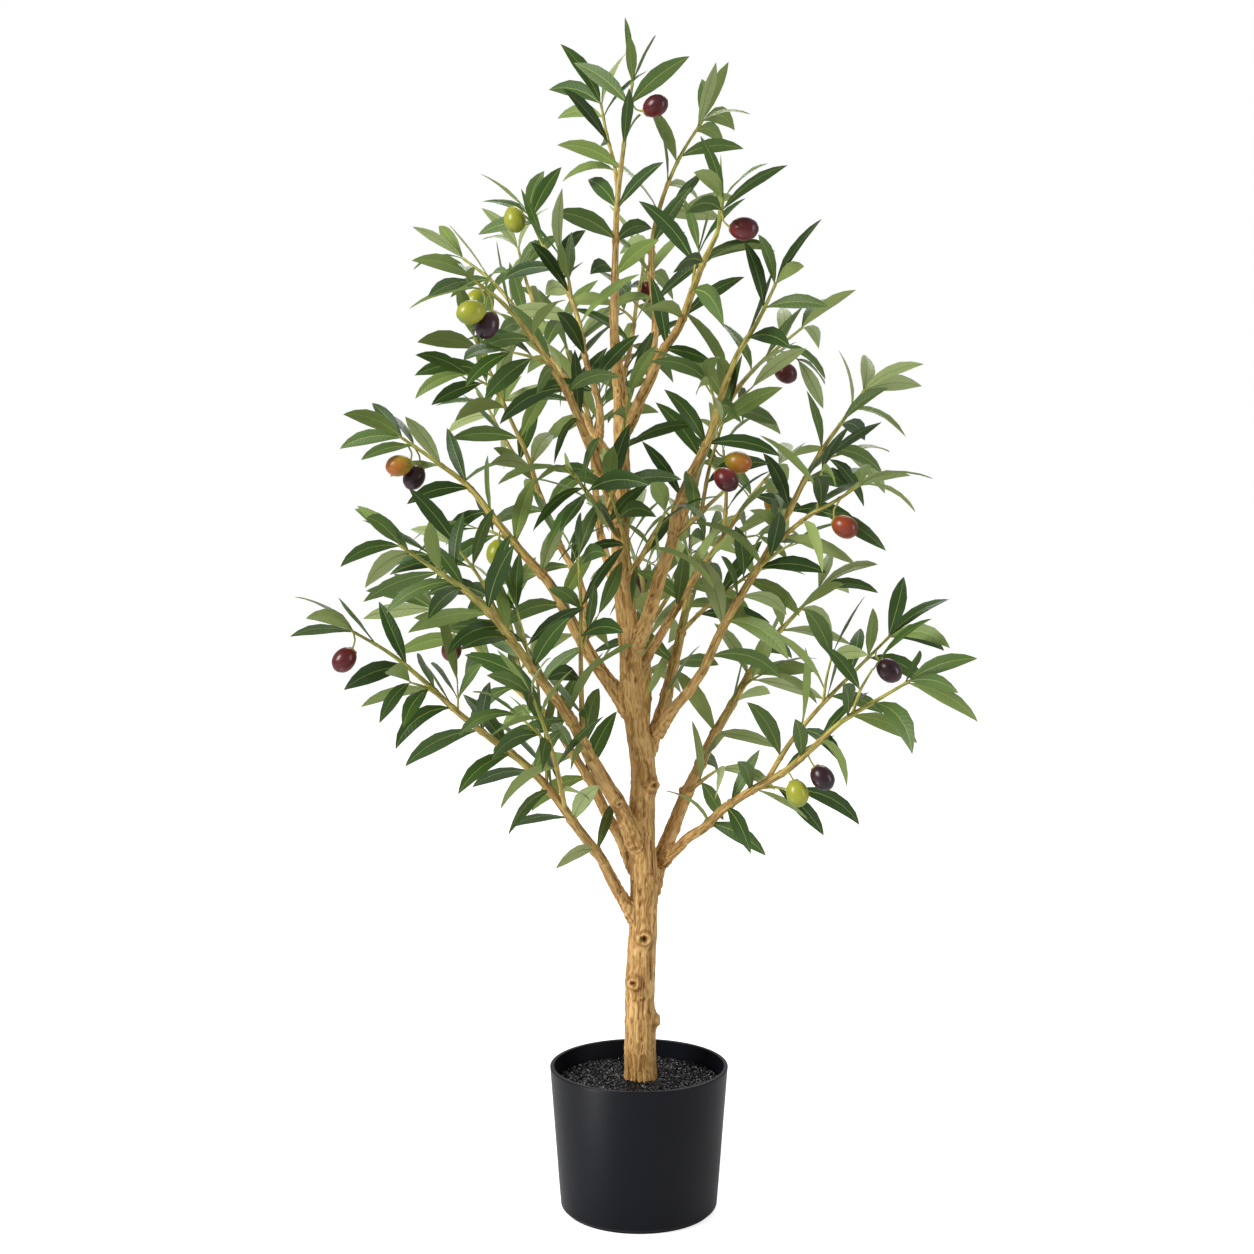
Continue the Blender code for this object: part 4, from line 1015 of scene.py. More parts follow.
def growCrown():
    crown = crownGrowth()
    paths = {"trunk": makeTrunkPath()}
    for row in boughRows:
        paths[row.name] = makeBoughPath(row, paths[row.parent])
    for name in paths:
        crown.obstacles.append(meshObstacle(name, nodes[name].data))
    shootsOf = {}
    for spray in sprayRows:
        shoots = sprayPaths(spray, paths[spray.limb])
        for index, (row, path) in enumerate(zip(spray.shoots, shoots)):
            mesh = probeTube(path, 4 if row.footRadius > growth["stoutShoot"] else 3)
            crown.obstacles.append(meshObstacle("%s_%d" % (spray.name, index), mesh))
            bpy.data.meshes.remove(mesh)
        shootsOf[spray.name] = shoots
    for row in oliveRows:
        crown.obstacles.extend(oliveObstacles(row, shootsOf[row.spray][row.shoot]))

    twigsOf = {}
    for spray in sprayRows:
        chance = random.Random(spray.seed)
        shoots = shootsOf[spray.name]
        twiglets = makeTwiglets(spray.name, shoots, chance, crown, twigletRule, "twiglet")
        for index, path in enumerate(shoots):
            owner = "%s_%d" % (spray.name, index)
            bare = leafRule["bareFork"] if index or spray.at != 1.0 else leafRule["bareStem"]
            clotheShoot(path, owner, bare, spray.turn, leafRule["shootTuft"], chance, crown)
        for twiglet, owner, parent, fraction in twiglets:
            bare = leafRule["bareTwiglet"]
            clotheShoot(twiglet, owner, bare, spray.turn, leafRule["twigletTuft"], chance, crown)
        twigsOf[spray.name] = twiglets
    sameLeaves = len(crown.leaves)

    crown.boxed = True
    for spray in sprayRows:
        chance = random.Random(spray.seed + fineRule["seedShift"])
        fine = makeTwiglets(spray.name, shootsOf[spray.name], chance, crown, fineRule, "fine")
        for twiglet, owner, parent, fraction in fine:
            clotheShoot(twiglet, owner, fineRule["bare"], spray.turn, fineRule["tuft"], chance, crown)
        twigsOf[spray.name] += fine
    crown.leaves = [entry for entry in crown.leaves if not spoilsFruit(entry[0], shootsOf)]
    print("crown: %d leaves as in the model, %d in all" % (sameLeaves, len(crown.leaves)))
    return crown, paths, shootsOf, twigsOf


def spoilsFruit(leaf, shootsOf):
    # true for a leaf that runs into a moved olive or covers it from the front
    eye = Vector(studio["cameraPlace"])
    spots = [leafFrame(leaf, part)[0] for part in fruitRoom["parts"]]
    for index, row in enumerate(hungOlives()):
        if index not in oliveMoves:
            continue
        fruit = fruitMiddle(*leanedPlace(index, row, shootsOf[row.spray][row.shoot])[2:])
        ahead = (fruit - eye).normalized()
        for spot in spots:
            away = spot - fruit
            if away.length < fruitRoom["clear"]:
                return True
            aside = away - ahead * away.dot(ahead)
            if away.dot(ahead) < 0.0 and aside.length < fruitRoom["inFront"]:
                return True
    return False


# Bark over the trunk and boughs: a dense tube whose skin is moved by Geometry Nodes
barkShape = dict(
    trunkSides=120, trunkStep=0.0013, boughSides=40, boughStep=0.0017,
    fibreScale=270.0, fibreDepth=0.0028,
    crackScale=235.0, crackDepth=0.0010, crackStart=0.57, crackSpan=0.09,
    crackStretch=1.7,           # cracks are this much shorter than the fibres
    lumpScale=55.0, lumpDepth=0.0020,
    waverScale=70.0, waverReach=0.0060,
    stretch=0.090,              # how much the grain is drawn out along the limb
    collarHeight=0.0014, collarReach=0.0070,
    trunkFold=0.0002, boughFold=0.0010, foldSpacing=0.0038, foldReach=0.0120,
    foldSwayScale=150.0, foldSway=7.0,
    footSunk=0.004, footFlare=0.0016, footFade=-220.0,
    girth=125.0,                # one over the radius from which bark has its full relief
    runShift=1.7,               # keeps the grain of one bough apart from the next one's
)
knotShape = dict(               # places and widths of forms as shares of the knot's radius
    groove=(0.74, 0.13), lip=(0.42, 0.17), pit=(0.0, 0.19), rings=19.0,
    warp=0.9, fray=0.45,        # how far lumps and fibres pull it out of round
    heights=dict(boss=0.46, lip=0.13, groove=-0.10, pit=-0.50, rings=0.030),
    calm=0.7,                   # how much of the other relief it takes away
)
# How much darker each form is than the bark about it: sunk forms darker, raised ones paler; partly the bark's
# own dark cracks and knot eye, partly painted shade in the hollows and folds and painted light on the lip,
# rings and fibres
barkReliefShading = dict(crack=0.70, pit=1.0, groove=0.70, lip=-0.25, rings=-0.22, fibre=-2.1, fold=-700.0)
# Knots: limb, place along it, heading, radius
knotRows = (
    ("trunk", 0.0746, 350.0, 0.0095),
    ("trunk", 0.1276, 245.0, 0.0115),
    ("trunk", 0.1856, 275.0, 0.0095),
    ("trunk", 0.3823, 315.0, 0.0110),
    ("bough_mid_left", 0.56, 285.0, 0.0070),
    ("bough_low_right", 0.36, 300.0, 0.0042),
    ("bough_low_right", 0.58, 330.0, 0.0040),
    ("bough_low_right", 0.86, 200.0, 0.0046),
    ("bough_low_left", 0.62, 290.0, 0.0036),
    ("bough_left", 0.55, 250.0, 0.0040),
    ("bough_high_left", 0.50, 300.0, 0.0034),
    ("bough_high_right", 0.45, 250.0, 0.0040),
    ("bough_mid_right", 0.60, 230.0, 0.0040),
    ("trunk", 0.300, 120.0, 0.0070),
    ("trunk", 0.470, 60.0, 0.0055),
    ("trunk", 0.520, 220.0, 0.0050),
    ("trunk", 0.655, 300.0, 0.0042),
    ("trunk", 0.100, 90.0, 0.0080),
)


def barkTree():
    tree, given, result = newTree(
        "barkOnLimb", Int="Sides", Object="Neighbour, Knots", Material="Bark",
        Float="Fibre Depth, Crack Depth, Lump Depth, Stretch, Collar Height, Collar Reach, "
              "Fold Depth, Fold Spacing, Fold Reach, Foot Flare",
    )
    skin = tubeSkin(tree, given)

    # grain coordinates run round the limb and are drawn out along it
    thick, run = stored(tree, "thick"), stored(tree, "run")
    grain = roundPlace(tree, run)
    stretch = put(tree, "ShaderNodeCombineXYZ", {"X": 1.0, "Y": 1.0, "Z": given["Stretch"]})
    drawn = calcVector(tree, "MULTIPLY", grain, stretch.outputs["Vector"])
    waver = noiseShift(tree, grain, barkShape["waverScale"], barkShape["waverReach"])
    skin = store(tree, skin, "grain", calcVector(tree, "ADD", drawn, waver), "FLOAT_VECTOR")
    onGrain = stored(tree, "grain", "FLOAT_VECTOR")
    fibre = centred(tree, onGrain, barkShape["fibreScale"], 2.5, 0.55)
    shorter = calcVector(tree, "MULTIPLY", onGrain, (1.0, 1.0, barkShape["crackStretch"]))
    crack = edge(tree, noiseOn(tree, shorter, barkShape["crackScale"], 1.5),
                 barkShape["crackStart"], barkShape["crackSpan"])
    lump = centred(tree, grain, barkShape["lumpScale"], 1.0)

    # a collar that swells and folds where limbs meet
    others = geometryOf(tree, given["Neighbour"])
    gap = put(tree, "GeometryNodeProximity", {"Geometry": others}, target_element="FACES").outputs["Distance"]
    near, fade = decay(tree, gap, given["Collar Reach"]), decay(tree, gap, given["Fold Reach"])
    sway = times(tree, noiseOn(tree, grain, barkShape["foldSwayScale"], 1.0), barkShape["foldSway"])
    phase = calc(tree, "DIVIDE", times(tree, gap, 2.0 * math.pi), given["Fold Spacing"])
    fold = times(tree, calc(tree, "SINE", calc(tree, "ADD", phase, sway)), fade)

    # knots: a boss with a raised ring about a sunken eye
    eyes = geometryOf(tree, given["Knots"])
    index = put(tree, "GeometryNodeSampleNearest", {"Geometry": eyes}, domain="POINT").outputs["Index"]
    picked = {}
    for name, kind in (("size", "FLOAT"), ("seat", "FLOAT_VECTOR")):
        feeds = {"Geometry": eyes, "Value": stored(tree, name, kind), "Index": index}
        node = put(tree, "GeometryNodeSampleIndex", feeds, data_type=kind, domain="POINT")
        picked[name] = node.outputs["Value"]
    away = calcVector(tree, "DISTANCE", put(tree, "GeometryNodeInputPosition").outputs[0], picked["seat"])
    ratio = calc(tree, "DIVIDE", away, picked["size"])
    ratio = total(tree, (ratio,), (lump, knotShape["warp"]), (fibre, knotShape["fray"]))
    ratio = calc(tree, "MAXIMUM", ratio, 0.0)
    boss = calc(tree, "EXPONENT", times(tree, calc(tree, "POWER", ratio, 3.0), -1.0))
    groove, lip, pit = (hill(tree, ratio, *knotShape[name]) for name in ("groove", "lip", "pit"))
    rings = times(tree, calc(tree, "SINE", times(tree, ratio, knotShape["rings"])), boss)
    forms = dict(boss=boss, lip=lip, groove=groove, pit=pit, rings=rings)
    swell = total(tree, *((forms[name], height) for name, height in knotShape["heights"].items()))

    girth = calc(tree, "MULTIPLY", thick, barkShape["girth"], clamp=True)     # thin limbs have finer bark
    calm = calc(tree, "MULTIPLY_ADD", boss, -knotShape["calm"], 1.0)          # knots have less of it
    foot = calc(tree, "EXPONENT", times(tree, calc(tree, "MAXIMUM", run, -0.001), barkShape["footFade"]))
    height = total(
        tree, (fibre, given["Fibre Depth"], girth, calm), (crack, given["Crack Depth"], girth, calm, -1.0),
        (lump, given["Lump Depth"], girth), (near, given["Collar Height"]),
        (fold, given["Fold Depth"]), (swell, picked["size"]),
        (calc(tree, "ADD", lump, 0.5), foot, stored(tree, "foot"), given["Foot Flare"]),
    )
    # painted shade and painted light: the colour follows the relief, darker where it is sunk and paler where
    # it is raised, over the bark's own dark cracks
    dark = barkReliefShading
    hollow = total(
        tree, (crack, dark["crack"], calm), (pit, dark["pit"]), (groove, dark["groove"]), (lip, dark["lip"]),
        (rings, dark["rings"]), (fibre, dark["fibre"], calm), (fold, given["Fold Depth"], dark["fold"]),
    )
    skin = store(tree, skin, "hollow", hollow)
    skin = store(tree, skin, "pit", pit)
    tree.links.new(coated(tree, liftSkin(tree, skin, height), given["Bark"]), result["Geometry"])
    return tree


def barkFinish():
    finish, tree, shader = newFinish("mouldedBark", (0.42, 0.24, 0.08), 0.52, 0.34)
    grain, place = surfacePlace(tree, "grain"), objectPlace(tree)
    fine = noiseOn(tree, grain, 520.0, 4.0, 0.62)
    shorter = calcVector(tree, "MULTIPLY", grain, (1.0, 1.0, 1.6))
    crack = edge(tree, noiseOn(tree, shorter, 430.0), 0.58, 0.08)
    # painted light: the bark is made paler higher up, to make up for the shade that the leaves cast on it
    # there
    rise = edge(tree, put(tree, "ShaderNodeSeparateXYZ", {"Vector": place}).outputs["Z"], 0.34, 0.26)
    level = total(tree, (surfaceValue(tree, "hollow"), -0.44), (crack, -0.20), (fine, 1.25), (rise, 0.13))
    colour = ramp(tree, calc(tree, "ADD", level, 0.025, clamp=True), (
        (0.08, (0.115, 0.044, 0.010)), (0.34, (0.290, 0.142, 0.036)),
        (0.58, (0.470, 0.252, 0.070)), (0.84, (0.700, 0.450, 0.170)),
    ))
    patch = edge(tree, noiseOn(tree, place, 62.0, 3.0), 0.52, 0.20)
    warm = blended(tree, times(tree, patch, 0.38), colour, (0.265, 0.138, 0.040, 1.0))
    # the knot's eye darkened: its own dark colour together with painted shade in the pit
    dark = calc(tree, "MULTIPLY", surfaceValue(tree, "pit"), 0.90, clamp=True)
    colour = blended(tree, dark, warm, (0.060, 0.024, 0.009, 1.0))
    tree.links.new(colour, shader.inputs["Base Color"])
    addBump(tree, shader, total(tree, (fine, 0.8), (crack, -0.5)), 0.75, 0.0010)
    return finish


def wireMesh(name, wires, fields):
    # poly lines with their radius and run, and what else the fields say, at each point
    corners, edges, rows = [], [], []
    for wire in wires:
        first = len(corners)
        for row in wire:
            corners.append(row["point"])
            rows.append(row)
        edges += [(index, index + 1) for index in range(first, len(corners) - 1)]
    mesh = bpy.data.meshes.new(name)
    mesh.from_pydata(corners, edges, [])
    return withFields(mesh, [(field, "FLOAT") for field in fields], rows)


def limbWire(path, step, foot=0.0, radiusAt=None, shift=0.0):
    count = max(4, round(path.length / step))
    wire = []
    for index in range(count + 1):
        fraction = index / count
        radius = radiusAt(fraction * path.length) if radiusAt else path.radius(fraction)
        run = shift + fraction * path.length
        wire.append(dict(point=path.softPoint(fraction), thick=radius, run=run, foot=foot))
    return wire


def cadCopy(name, names):
    # one scratch object out of copies of the model's nodes
    shape = bmesh.new()
    for node in names:
        shape.from_mesh(nodes[node].data)
    return addPiece(name, keptMesh(shape, name))


def makeBark(paths):
    tree = barkTree()
    finish = barkFinish()
    corners, rows = [], []
    for limb, at, heading, size in knotRows:
        path = paths[limb]
        out = headingVector(heading)
        along = path.tangent(at)
        out = (out - along * out.dot(along)).normalized()
        seat = path.softPoint(at) + out * path.radius(at)
        corners.append(seat)
        rows.append(dict(size=size, seat=seat))
    mesh = bpy.data.meshes.new("knots")
    mesh.from_pydata(corners, [], [])
    knots = addPiece("knots", withFields(mesh, (("size", "FLOAT"), ("seat", "FLOAT_VECTOR")), rows))

    first = [row for row in boughRows if row.parent == "trunk"]
    second = [row for row in boughRows if row.parent != "trunk"]
    settings = dict(barkShape, knots=knots, bark=finish)
    trunkWire = limbWire(paths["trunk"], barkShape["trunkStep"], 1.0)
    foot = dict(trunkWire[0])
    foot["point"] = foot["point"] - upward * barkShape["footSunk"]
    foot["run"] = -barkShape["footSunk"]
    made = []
    for name, wires, kind, neighbours in (
        ("trunk_bark", [[foot] + trunkWire], "trunk", [row.name for row in first]),
        ("bough_bark", boughWires(first, paths), "bough", ["trunk"]),
        ("bough_bark_upper", boughWires(second, paths), "bough", [row.parent for row in second]),
    ):
        other = cadCopy("neighbour", set(neighbours))
        settings.update(neighbour=other, sides=barkShape[kind + "Sides"], foldDepth=barkShape[kind + "Fold"])
        lines = wireMesh(name, wires, ("thick", "run", "foot"))
        made.append(runTree(addPiece(name, lines), tree, settings, name))
        bpy.data.objects.remove(other, do_unlink=True)
    bpy.data.objects.remove(knots, do_unlink=True)
    trunk = made[0]
    boughs = joined("bough_bark", made[1:])
    for piece, names in ((trunk, ["trunk"]), (boughs, [row.name for row in boughRows])):
        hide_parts(*names)
        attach(piece, "root")
    print("bark: trunk %d faces, boughs %d faces" % (len(trunk.data.polygons), len(boughs.data.polygons)))


def boughWires(rows, paths):
    wires = []
    for number, row in enumerate(rows):
        path = paths[row.name]
        within = paths[row.parent].radius(row.at)

        def radiusAt(run, path=path, row=row, within=within):
            return boughRadius(path, run, row, within)
        shift = barkShape["runShift"] * (number + 1)
        wires.append(limbWire(path, barkShape["boughStep"], 0.0, radiusAt, shift))
    return wires


# Shoots and twigs: thin tubes, the shoots with a knuckle wherever leaves stand on them
shootShape = dict(
    sides=10, step=0.0026, knuckle=0.22, knuckleReach=0.0016, roughDepth=0.16,
    tipEnd=0.45,                # radius left at the very tip
    stretch=0.10,               # how much the streaks are drawn out along a shoot
    roughScale=330.0, mottleScale=420.0, mottle=0.7,
    tanFrom=0.36, greenFrom=0.72,               # how young wood is where its colour changes
    stemYoung=0.05, forkYoung=0.35, twigYoung=(0.6, 1.1),
    runShift=1.3, stemSunk=0.003,               # streaks of their own, and how far stems start in the bark
)
shootTones = dict(               # dark, common and light streak
    wood=((0.170, 0.090, 0.024), (0.420, 0.245, 0.070), (0.640, 0.450, 0.140)),
    tan=((0.190, 0.128, 0.030), (0.420, 0.300, 0.076), (0.620, 0.530, 0.140)),
    green=((0.155, 0.155, 0.026), (0.340, 0.330, 0.062), (0.560, 0.540, 0.125)),
    stalk=((0.230, 0.240, 0.045), (0.360, 0.350, 0.080), (0.480, 0.450, 0.110)),
)


def shootTree():
    tree, given, result = newTree(
        "tubesOnShoots", Int="Sides", Float="Rough Depth", Material="Wood, Tan, Green")
    skin = tubeSkin(tree, given)
    grain = roundPlace(tree, times(tree, stored(tree, "run"), shootShape["stretch"]))
    skin = store(tree, skin, "grain", grain, "FLOAT_VECTOR")
    place = put(tree, "GeometryNodeInputPosition").outputs[0]
    rough = centred(tree, place, shootShape["roughScale"])
    skin = liftSkin(tree, skin, times(tree, rough, given["Rough Depth"], stored(tree, "thick")))
    mottle = centred(tree, place, shootShape["mottleScale"])
    young = total(tree, (stored(tree, "young"),), (mottle, shootShape["mottle"]))
    skin = coated(tree, skin, given["Wood"])
    for label, limit in (("Tan", shootShape["tanFrom"]), ("Green", shootShape["greenFrom"])):
        skin = coated(tree, skin, given[label], calc(tree, "GREATER_THAN", young, limit))
    tree.links.new(skin, result["Geometry"])
    return tree


def shootFinish(name, colours):
    # dark, common and light colour of the streaks that run along a shoot
    finish, tree, shader = newFinish(name, colours[1], 0.52, 0.36)
    streaks = noiseOn(tree, surfacePlace(tree, "grain"), 620.0, 3.0, 0.6)
    tree.links.new(ramp(tree, streaks, tuple(zip((0.34, 0.50, 0.66), colours))), shader.inputs["Base Color"])
    addBump(tree, shader, streaks, 0.55, 0.0007)
    return finish


def shootWire(path, stations, startYoung, endYoung, shift, lead=0.0):
    # a fine line along a shoot, with knuckles at the leaves' stations
    count = max(5, round(path.length / shootShape["step"]))
    wire = []
    for index in range(count + 1):
        fraction = index / count
        run = fraction * path.length
        swell = sum(math.exp(-((run - at) / shootShape["knuckleReach"]) ** 2) for at in stations)
        radius = path.radius(fraction) * (1.0 + shootShape["knuckle"] * min(1.0, swell))
        point = path.softPoint(fraction)
        young = startYoung + (endYoung - startYoung) * fraction
        wire.append(dict(point=point, thick=radius, young=young, run=shift + run))
    if lead:
        slope = (wire[1]["point"] - wire[0]["point"]).normalized()
        wire.insert(0, dict(wire[0], point=wire[0]["point"] - slope * lead))
    wire[-1]["thick"] *= shootShape["tipEnd"]
    return wire


def makeShoots(crown, paths, shootsOf, twigsOf):
    wires = []
    for spray in sprayRows:
        shoots = shootsOf[spray.name]
        for index, path in enumerate(shoots):
            stations = [at * path.length for leaf, at, home in crown.leaves if home is path]
            onTip = spray.at == 1.0 and not index
            startYoung = shootShape["forkYoung" if index else "stemYoung"]
            lead = shootShape["stemSunk"] if onTip else 0.0
            shift = shootShape["runShift"] * len(wires)
            wires.append(shootWire(path, stations, startYoung, 1.0, shift, lead))
        for twiglet, owner, parent, fraction in twigsOf[spray.name]:
            moving = parent.softPoint(fraction) - parent.point(fraction)
            moved = growPath([point + moving for point in twiglet.points], twiglet.radii)
            wires.append(shootWire(moved, [], *shootShape["twigYoung"], shootShape["runShift"] * len(wires)))
    settings = dict(shootShape)
    for label in ("wood", "tan", "green"):
        settings[label] = shootFinish("shoot" + label.title(), shootTones[label])
    lines = wireMesh("shoots", wires, ("thick", "young", "run"))
    shoots = runTree(addPiece("shoots", lines), shootTree(), settings, "shoots")
    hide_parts(*[row.name for row in sprayRows])
    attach(shoots, "root")
    print("shoots: %d lines, %d faces" % (len(wires), len(shoots.data.polygons)))


# Leaves: one small blade, set on points by Geometry Nodes and bent there
leafShape = dict(
    stations=((0.0, 0.085), (0.06, 0.08), (0.17, 0.42), (0.33, 0.83), (0.50, 1.0),
              (0.67, 0.91), (0.83, 0.58), (0.94, 0.23)),
    slim=0.82,                  # width of a blade against the model's
    ribHalf=0.054, midPlace=0.55, midLift=0.020, edgeLift=0.017, underDrop=0.007,
    cup=1.0, ripple=0.035,
)
leafTones = (                    # upper side, under side, rib
    ("Dark", (0.029, 0.068, 0.010), (0.165, 0.225, 0.060), (0.215, 0.265, 0.066)),
    ("Deep", (0.050, 0.104, 0.016), (0.200, 0.270, 0.075), (0.245, 0.305, 0.076)),
    ("Mid", (0.098, 0.163, 0.038), (0.250, 0.320, 0.098), (0.290, 0.350, 0.088)),
    ("Fresh", (0.178, 0.252, 0.060), (0.300, 0.385, 0.120), (0.310, 0.380, 0.080)),
    ("Pale", (0.315, 0.385, 0.150), (0.370, 0.450, 0.195), (0.170, 0.190, 0.040)),
)
# painted light: leaves further back are dealt the paler tones more often, standing in for light that shines
# through them
toneShares = dict(               # how often each tone comes, by where the leaf stands
    front=(0.42, 0.29, 0.17, 0.08, 0.04),
    middle=(0.26, 0.27, 0.24, 0.14, 0.09),
    back=(0.11, 0.21, 0.29, 0.21, 0.18),
)
toneRule = dict(frontAt=-0.035, backAt=0.06, freshFrom=0.84, freshShare=0.6)
crownMiddle = (-0.015, 0.06)     # the point, seen from above, that leaves face away from


def bladeMesh():
    # a closed blade: five strips above, three below, all within x 0..1 and y -1..1
    rows = []
    shape, mid = leafShape, leafShape["midPlace"]
    mesh = bmesh.new()
    for along, half in shape["stations"]:
        petiole = half < 0.1
        rib = min(0.55 * half, shape["ribHalf"] * (1.0 - 0.6 * along))
        midLift, edgeLift = (0.004, 0.0) if petiole else (shape["midLift"] * half, shape["edgeLift"] * half)
        drop = 0.012 if petiole else shape["underDrop"] * (0.5 + 0.5 * half)
        top = ((-half, edgeLift), (-mid * half - 0.4 * rib, midLift), (-rib, 0.0),
               (rib, 0.0), (mid * half + 0.4 * rib, midLift), (half, edgeLift))
        under = ((-1.3 * rib, -drop), (1.3 * rib, -drop))
        ring = [mesh.verts.new((along, y, z)) for y, z in top]
        ring += [mesh.verts.new((along, y, z)) for y, z in reversed(under)]
        rows.append(ring)
    tip = mesh.verts.new((1.0, 0.0, 0.0))
    parts = mesh.faces.layers.int.new("part")
    kinds = (0, 0, 2, 0, 0, 1, 2, 1)
    for index, (near, far) in enumerate(zip(rows, rows[1:] + [None])):
        for side in range(8):
            other = (side + 1) % 8
            if far:
                face = mesh.faces.new((near[side], far[side], far[other], near[other]))
            else:
                face = mesh.faces.new((near[side], tip, near[other]))
            face[parts] = 2 if index == 0 else kinds[side]
            face.smooth = True
    cap = mesh.faces.new(rows[0])
    cap[parts] = 2
    for side in mesh.edges:
        kindsHere = {face[parts] for face in side.link_faces}
        if min(corner.co.x for corner in side.verts) > 0.05 and kindsHere == {0, 1}:
            side.smooth = False
    bmesh.ops.recalc_face_normals(mesh, faces=mesh.faces)
    kept = keptMesh(mesh, "blade")
    layer = kept.attributes.new("blade", "FLOAT_VECTOR", "POINT")
    layer.data.foreach_set("vector", [part for corner in kept.vertices for part in corner.co])
    return kept


def leafTree():
    tree, given, result = newTree(
        "leavesOnPoints", Object="Blade", Float="Cup, Ripple", Material="Upper, Under, Rib")
    many = realized(tree, {"Points": given["Geometry"], "Instance": geometryOf(tree, given["Blade"])})
    root, start, fall, face, local = (stored(tree, name, "FLOAT_VECTOR")
                                      for name in ("root", "start", "fall", "face", "blade"))
    bend, length, width, flip = (stored(tree, name) for name in ("bend", "length", "width", "flip"))
    split = put(tree, "ShaderNodeSeparateXYZ", {"Vector": local}).outputs

    # the midrib is an arc that sets out along start and turns to fall
    angle = times(tree, bend, split["X"])
    arm = calc(tree, "DIVIDE", length, bend)
    sine, cosine = calc(tree, "SINE", angle), calc(tree, "COSINE", angle)
    ahead = scaled(tree, start, times(tree, arm, sine))
    drop = scaled(tree, fall, times(tree, arm, calc(tree, "SUBTRACT", 1.0, cosine)))
    place = calcVector(tree, "ADD", root, calcVector(tree, "ADD", ahead, drop))
    along = calcVector(tree, "ADD", scaled(tree, start, cosine), scaled(tree, fall, sine))
    across = calcVector(tree, "NORMALIZE", calcVector(tree, "CROSS_PRODUCT", along, face))
    across = scaled(tree, across, flip)
    normal = calcVector(tree, "CROSS_PRODUCT", along, across)

    # the blade lies across it, with a fold and a slight wave
    aside = scaled(tree, across, times(tree, split["Y"], width, 0.5))
    wave = calc(tree, "SINE", total(tree, (split["X"], 9.0), (length, 900.0)))
    lift = total(tree, (split["Z"], length, given["Cup"]), (wave, split["Y"], width, given["Ripple"]))
    spot = calcVector(tree, "ADD", aside, scaled(tree, normal, lift))
    spot = calcVector(tree, "ADD", place, spot)
    many = put(tree, "GeometryNodeSetPosition", {"Geometry": many, "Position": spot}).outputs["Geometry"]
    many = coated(tree, many, given["Upper"])
    for number, label in ((1, "Under"), (2, "Rib")):
        chosen = put(tree, "FunctionNodeCompare", {2: stored(tree, "part", "INT"), 3: number},
                     data_type="INT", operation="EQUAL").outputs[0]
        many = coated(tree, many, given[label], chosen)
    tree.links.new(many, result["Geometry"])
    return tree


def bladeFinish(name, colour, roughness, specular, veins):
    # side veins that slope forward from the rib, and the fine weave of a printed leaf
    finish, tree, shader = newFinish(name, colour, roughness, specular)
    split = put(tree, "ShaderNodeSeparateXYZ", {"Vector": surfacePlace(tree, "blade")}).outputs
    slope = times(tree, calc(tree, "ABSOLUTE", split["Y"]), -9.0)
    veined = calc(tree, "SINE", total(tree, (split["X"], 95.0), (slope,)))
    weave = noiseOn(tree, objectPlace(tree), 1500.0)
    addBump(tree, shader, total(tree, (veined, 0.3), (weave,)), veins, 0.0005)
    return finish


def leafSide(leaf, chance):
    # the upper side turns up and away from the trunk
    point, along, across, normal = leafFrame(leaf, 0.5)
    outward = Vector((point.x - crownMiddle[0], point.y - crownMiddle[1], 0.0))
    outward = outward.normalized() if outward.length > 0.02 else Vector((0.0, 0.0, 0.0))
    wish = upward * 0.5 + outward * 0.6 - Vector((0.0, 0.35, 0.0))
    lean = normal.dot(wish) + chance.uniform(-0.2, 0.2)
    return 1.0 if lean > 0.0 else -1.0


def pickTone(leaf, fraction, chance):
    # the paler tones, more common at the back, are painted light shining through the leaves
    depth = leafFrame(leaf, 0.5)[0].y
    where = "front" if depth < toneRule["frontAt"] else "back" if depth > toneRule["backAt"] else "middle"
    draw = chance.random()
    tone = 0
    for share in toneShares[where]:
        if draw < share:
            break
        draw -= share
        tone += 1
    if fraction > toneRule["freshFrom"] and chance.random() < toneRule["freshShare"]:
        tone += 1
    return min(tone, len(leafTones) - 1)


def makeLeaves(crown):
    tree = leafTree()
    blade = addPiece("blade", bladeMesh())
    chance = random.Random(71)
    groups = [[] for tone in leafTones]
    for leaf, fraction, home in crown.leaves:
        row = leaf._asdict()
        row["flip"] = leafSide(leaf, chance)
        row["width"] *= leafShape["slim"]
        groups[pickTone(leaf, fraction, chance)].append(row)
    vectors, numbers = ("root", "start", "fall", "face"), ("bend", "length", "width", "flip")
    fields = [(name, "FLOAT_VECTOR") for name in vectors] + [(name, "FLOAT") for name in numbers]
    made = []
    for rows, (tone, upper, under, rib) in zip(groups, leafTones):
        mesh = bpy.data.meshes.new("points")
        mesh.from_pydata([row["root"] for row in rows], [], [])
        source = addPiece("points", withFields(mesh, fields, rows))
        settings = dict(
            leafShape, blade=blade,
            upper=bladeFinish("leafUpper" + tone, upper, 0.42, 0.30, 0.40),
            under=bladeFinish("leafUnder" + tone, under, 0.60, 0.30, 0.25),
            rib=bladeFinish("leafRib" + tone, rib, 0.50, 0.35, 0.0),
        )
        made.append(runTree(source, tree, settings, "leaves" + tone))
    leaves = joined("leaves", made)
    bpy.data.objects.remove(blade, do_unlink=True)
    for name in (*vectors, *numbers, "part"):
        layer = leaves.data.attributes.get(name)
        if layer:
            leaves.data.attributes.remove(layer)
    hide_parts(*[row.name for row in sprayRows])
    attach(leaves, "root")
    counts = ", ".join("%d %s" % (len(rows), tone[0].lower()) for rows, tone in zip(groups, leafTones))
    print("leaves: %s; %d faces" % (counts, len(leaves.data.polygons)))


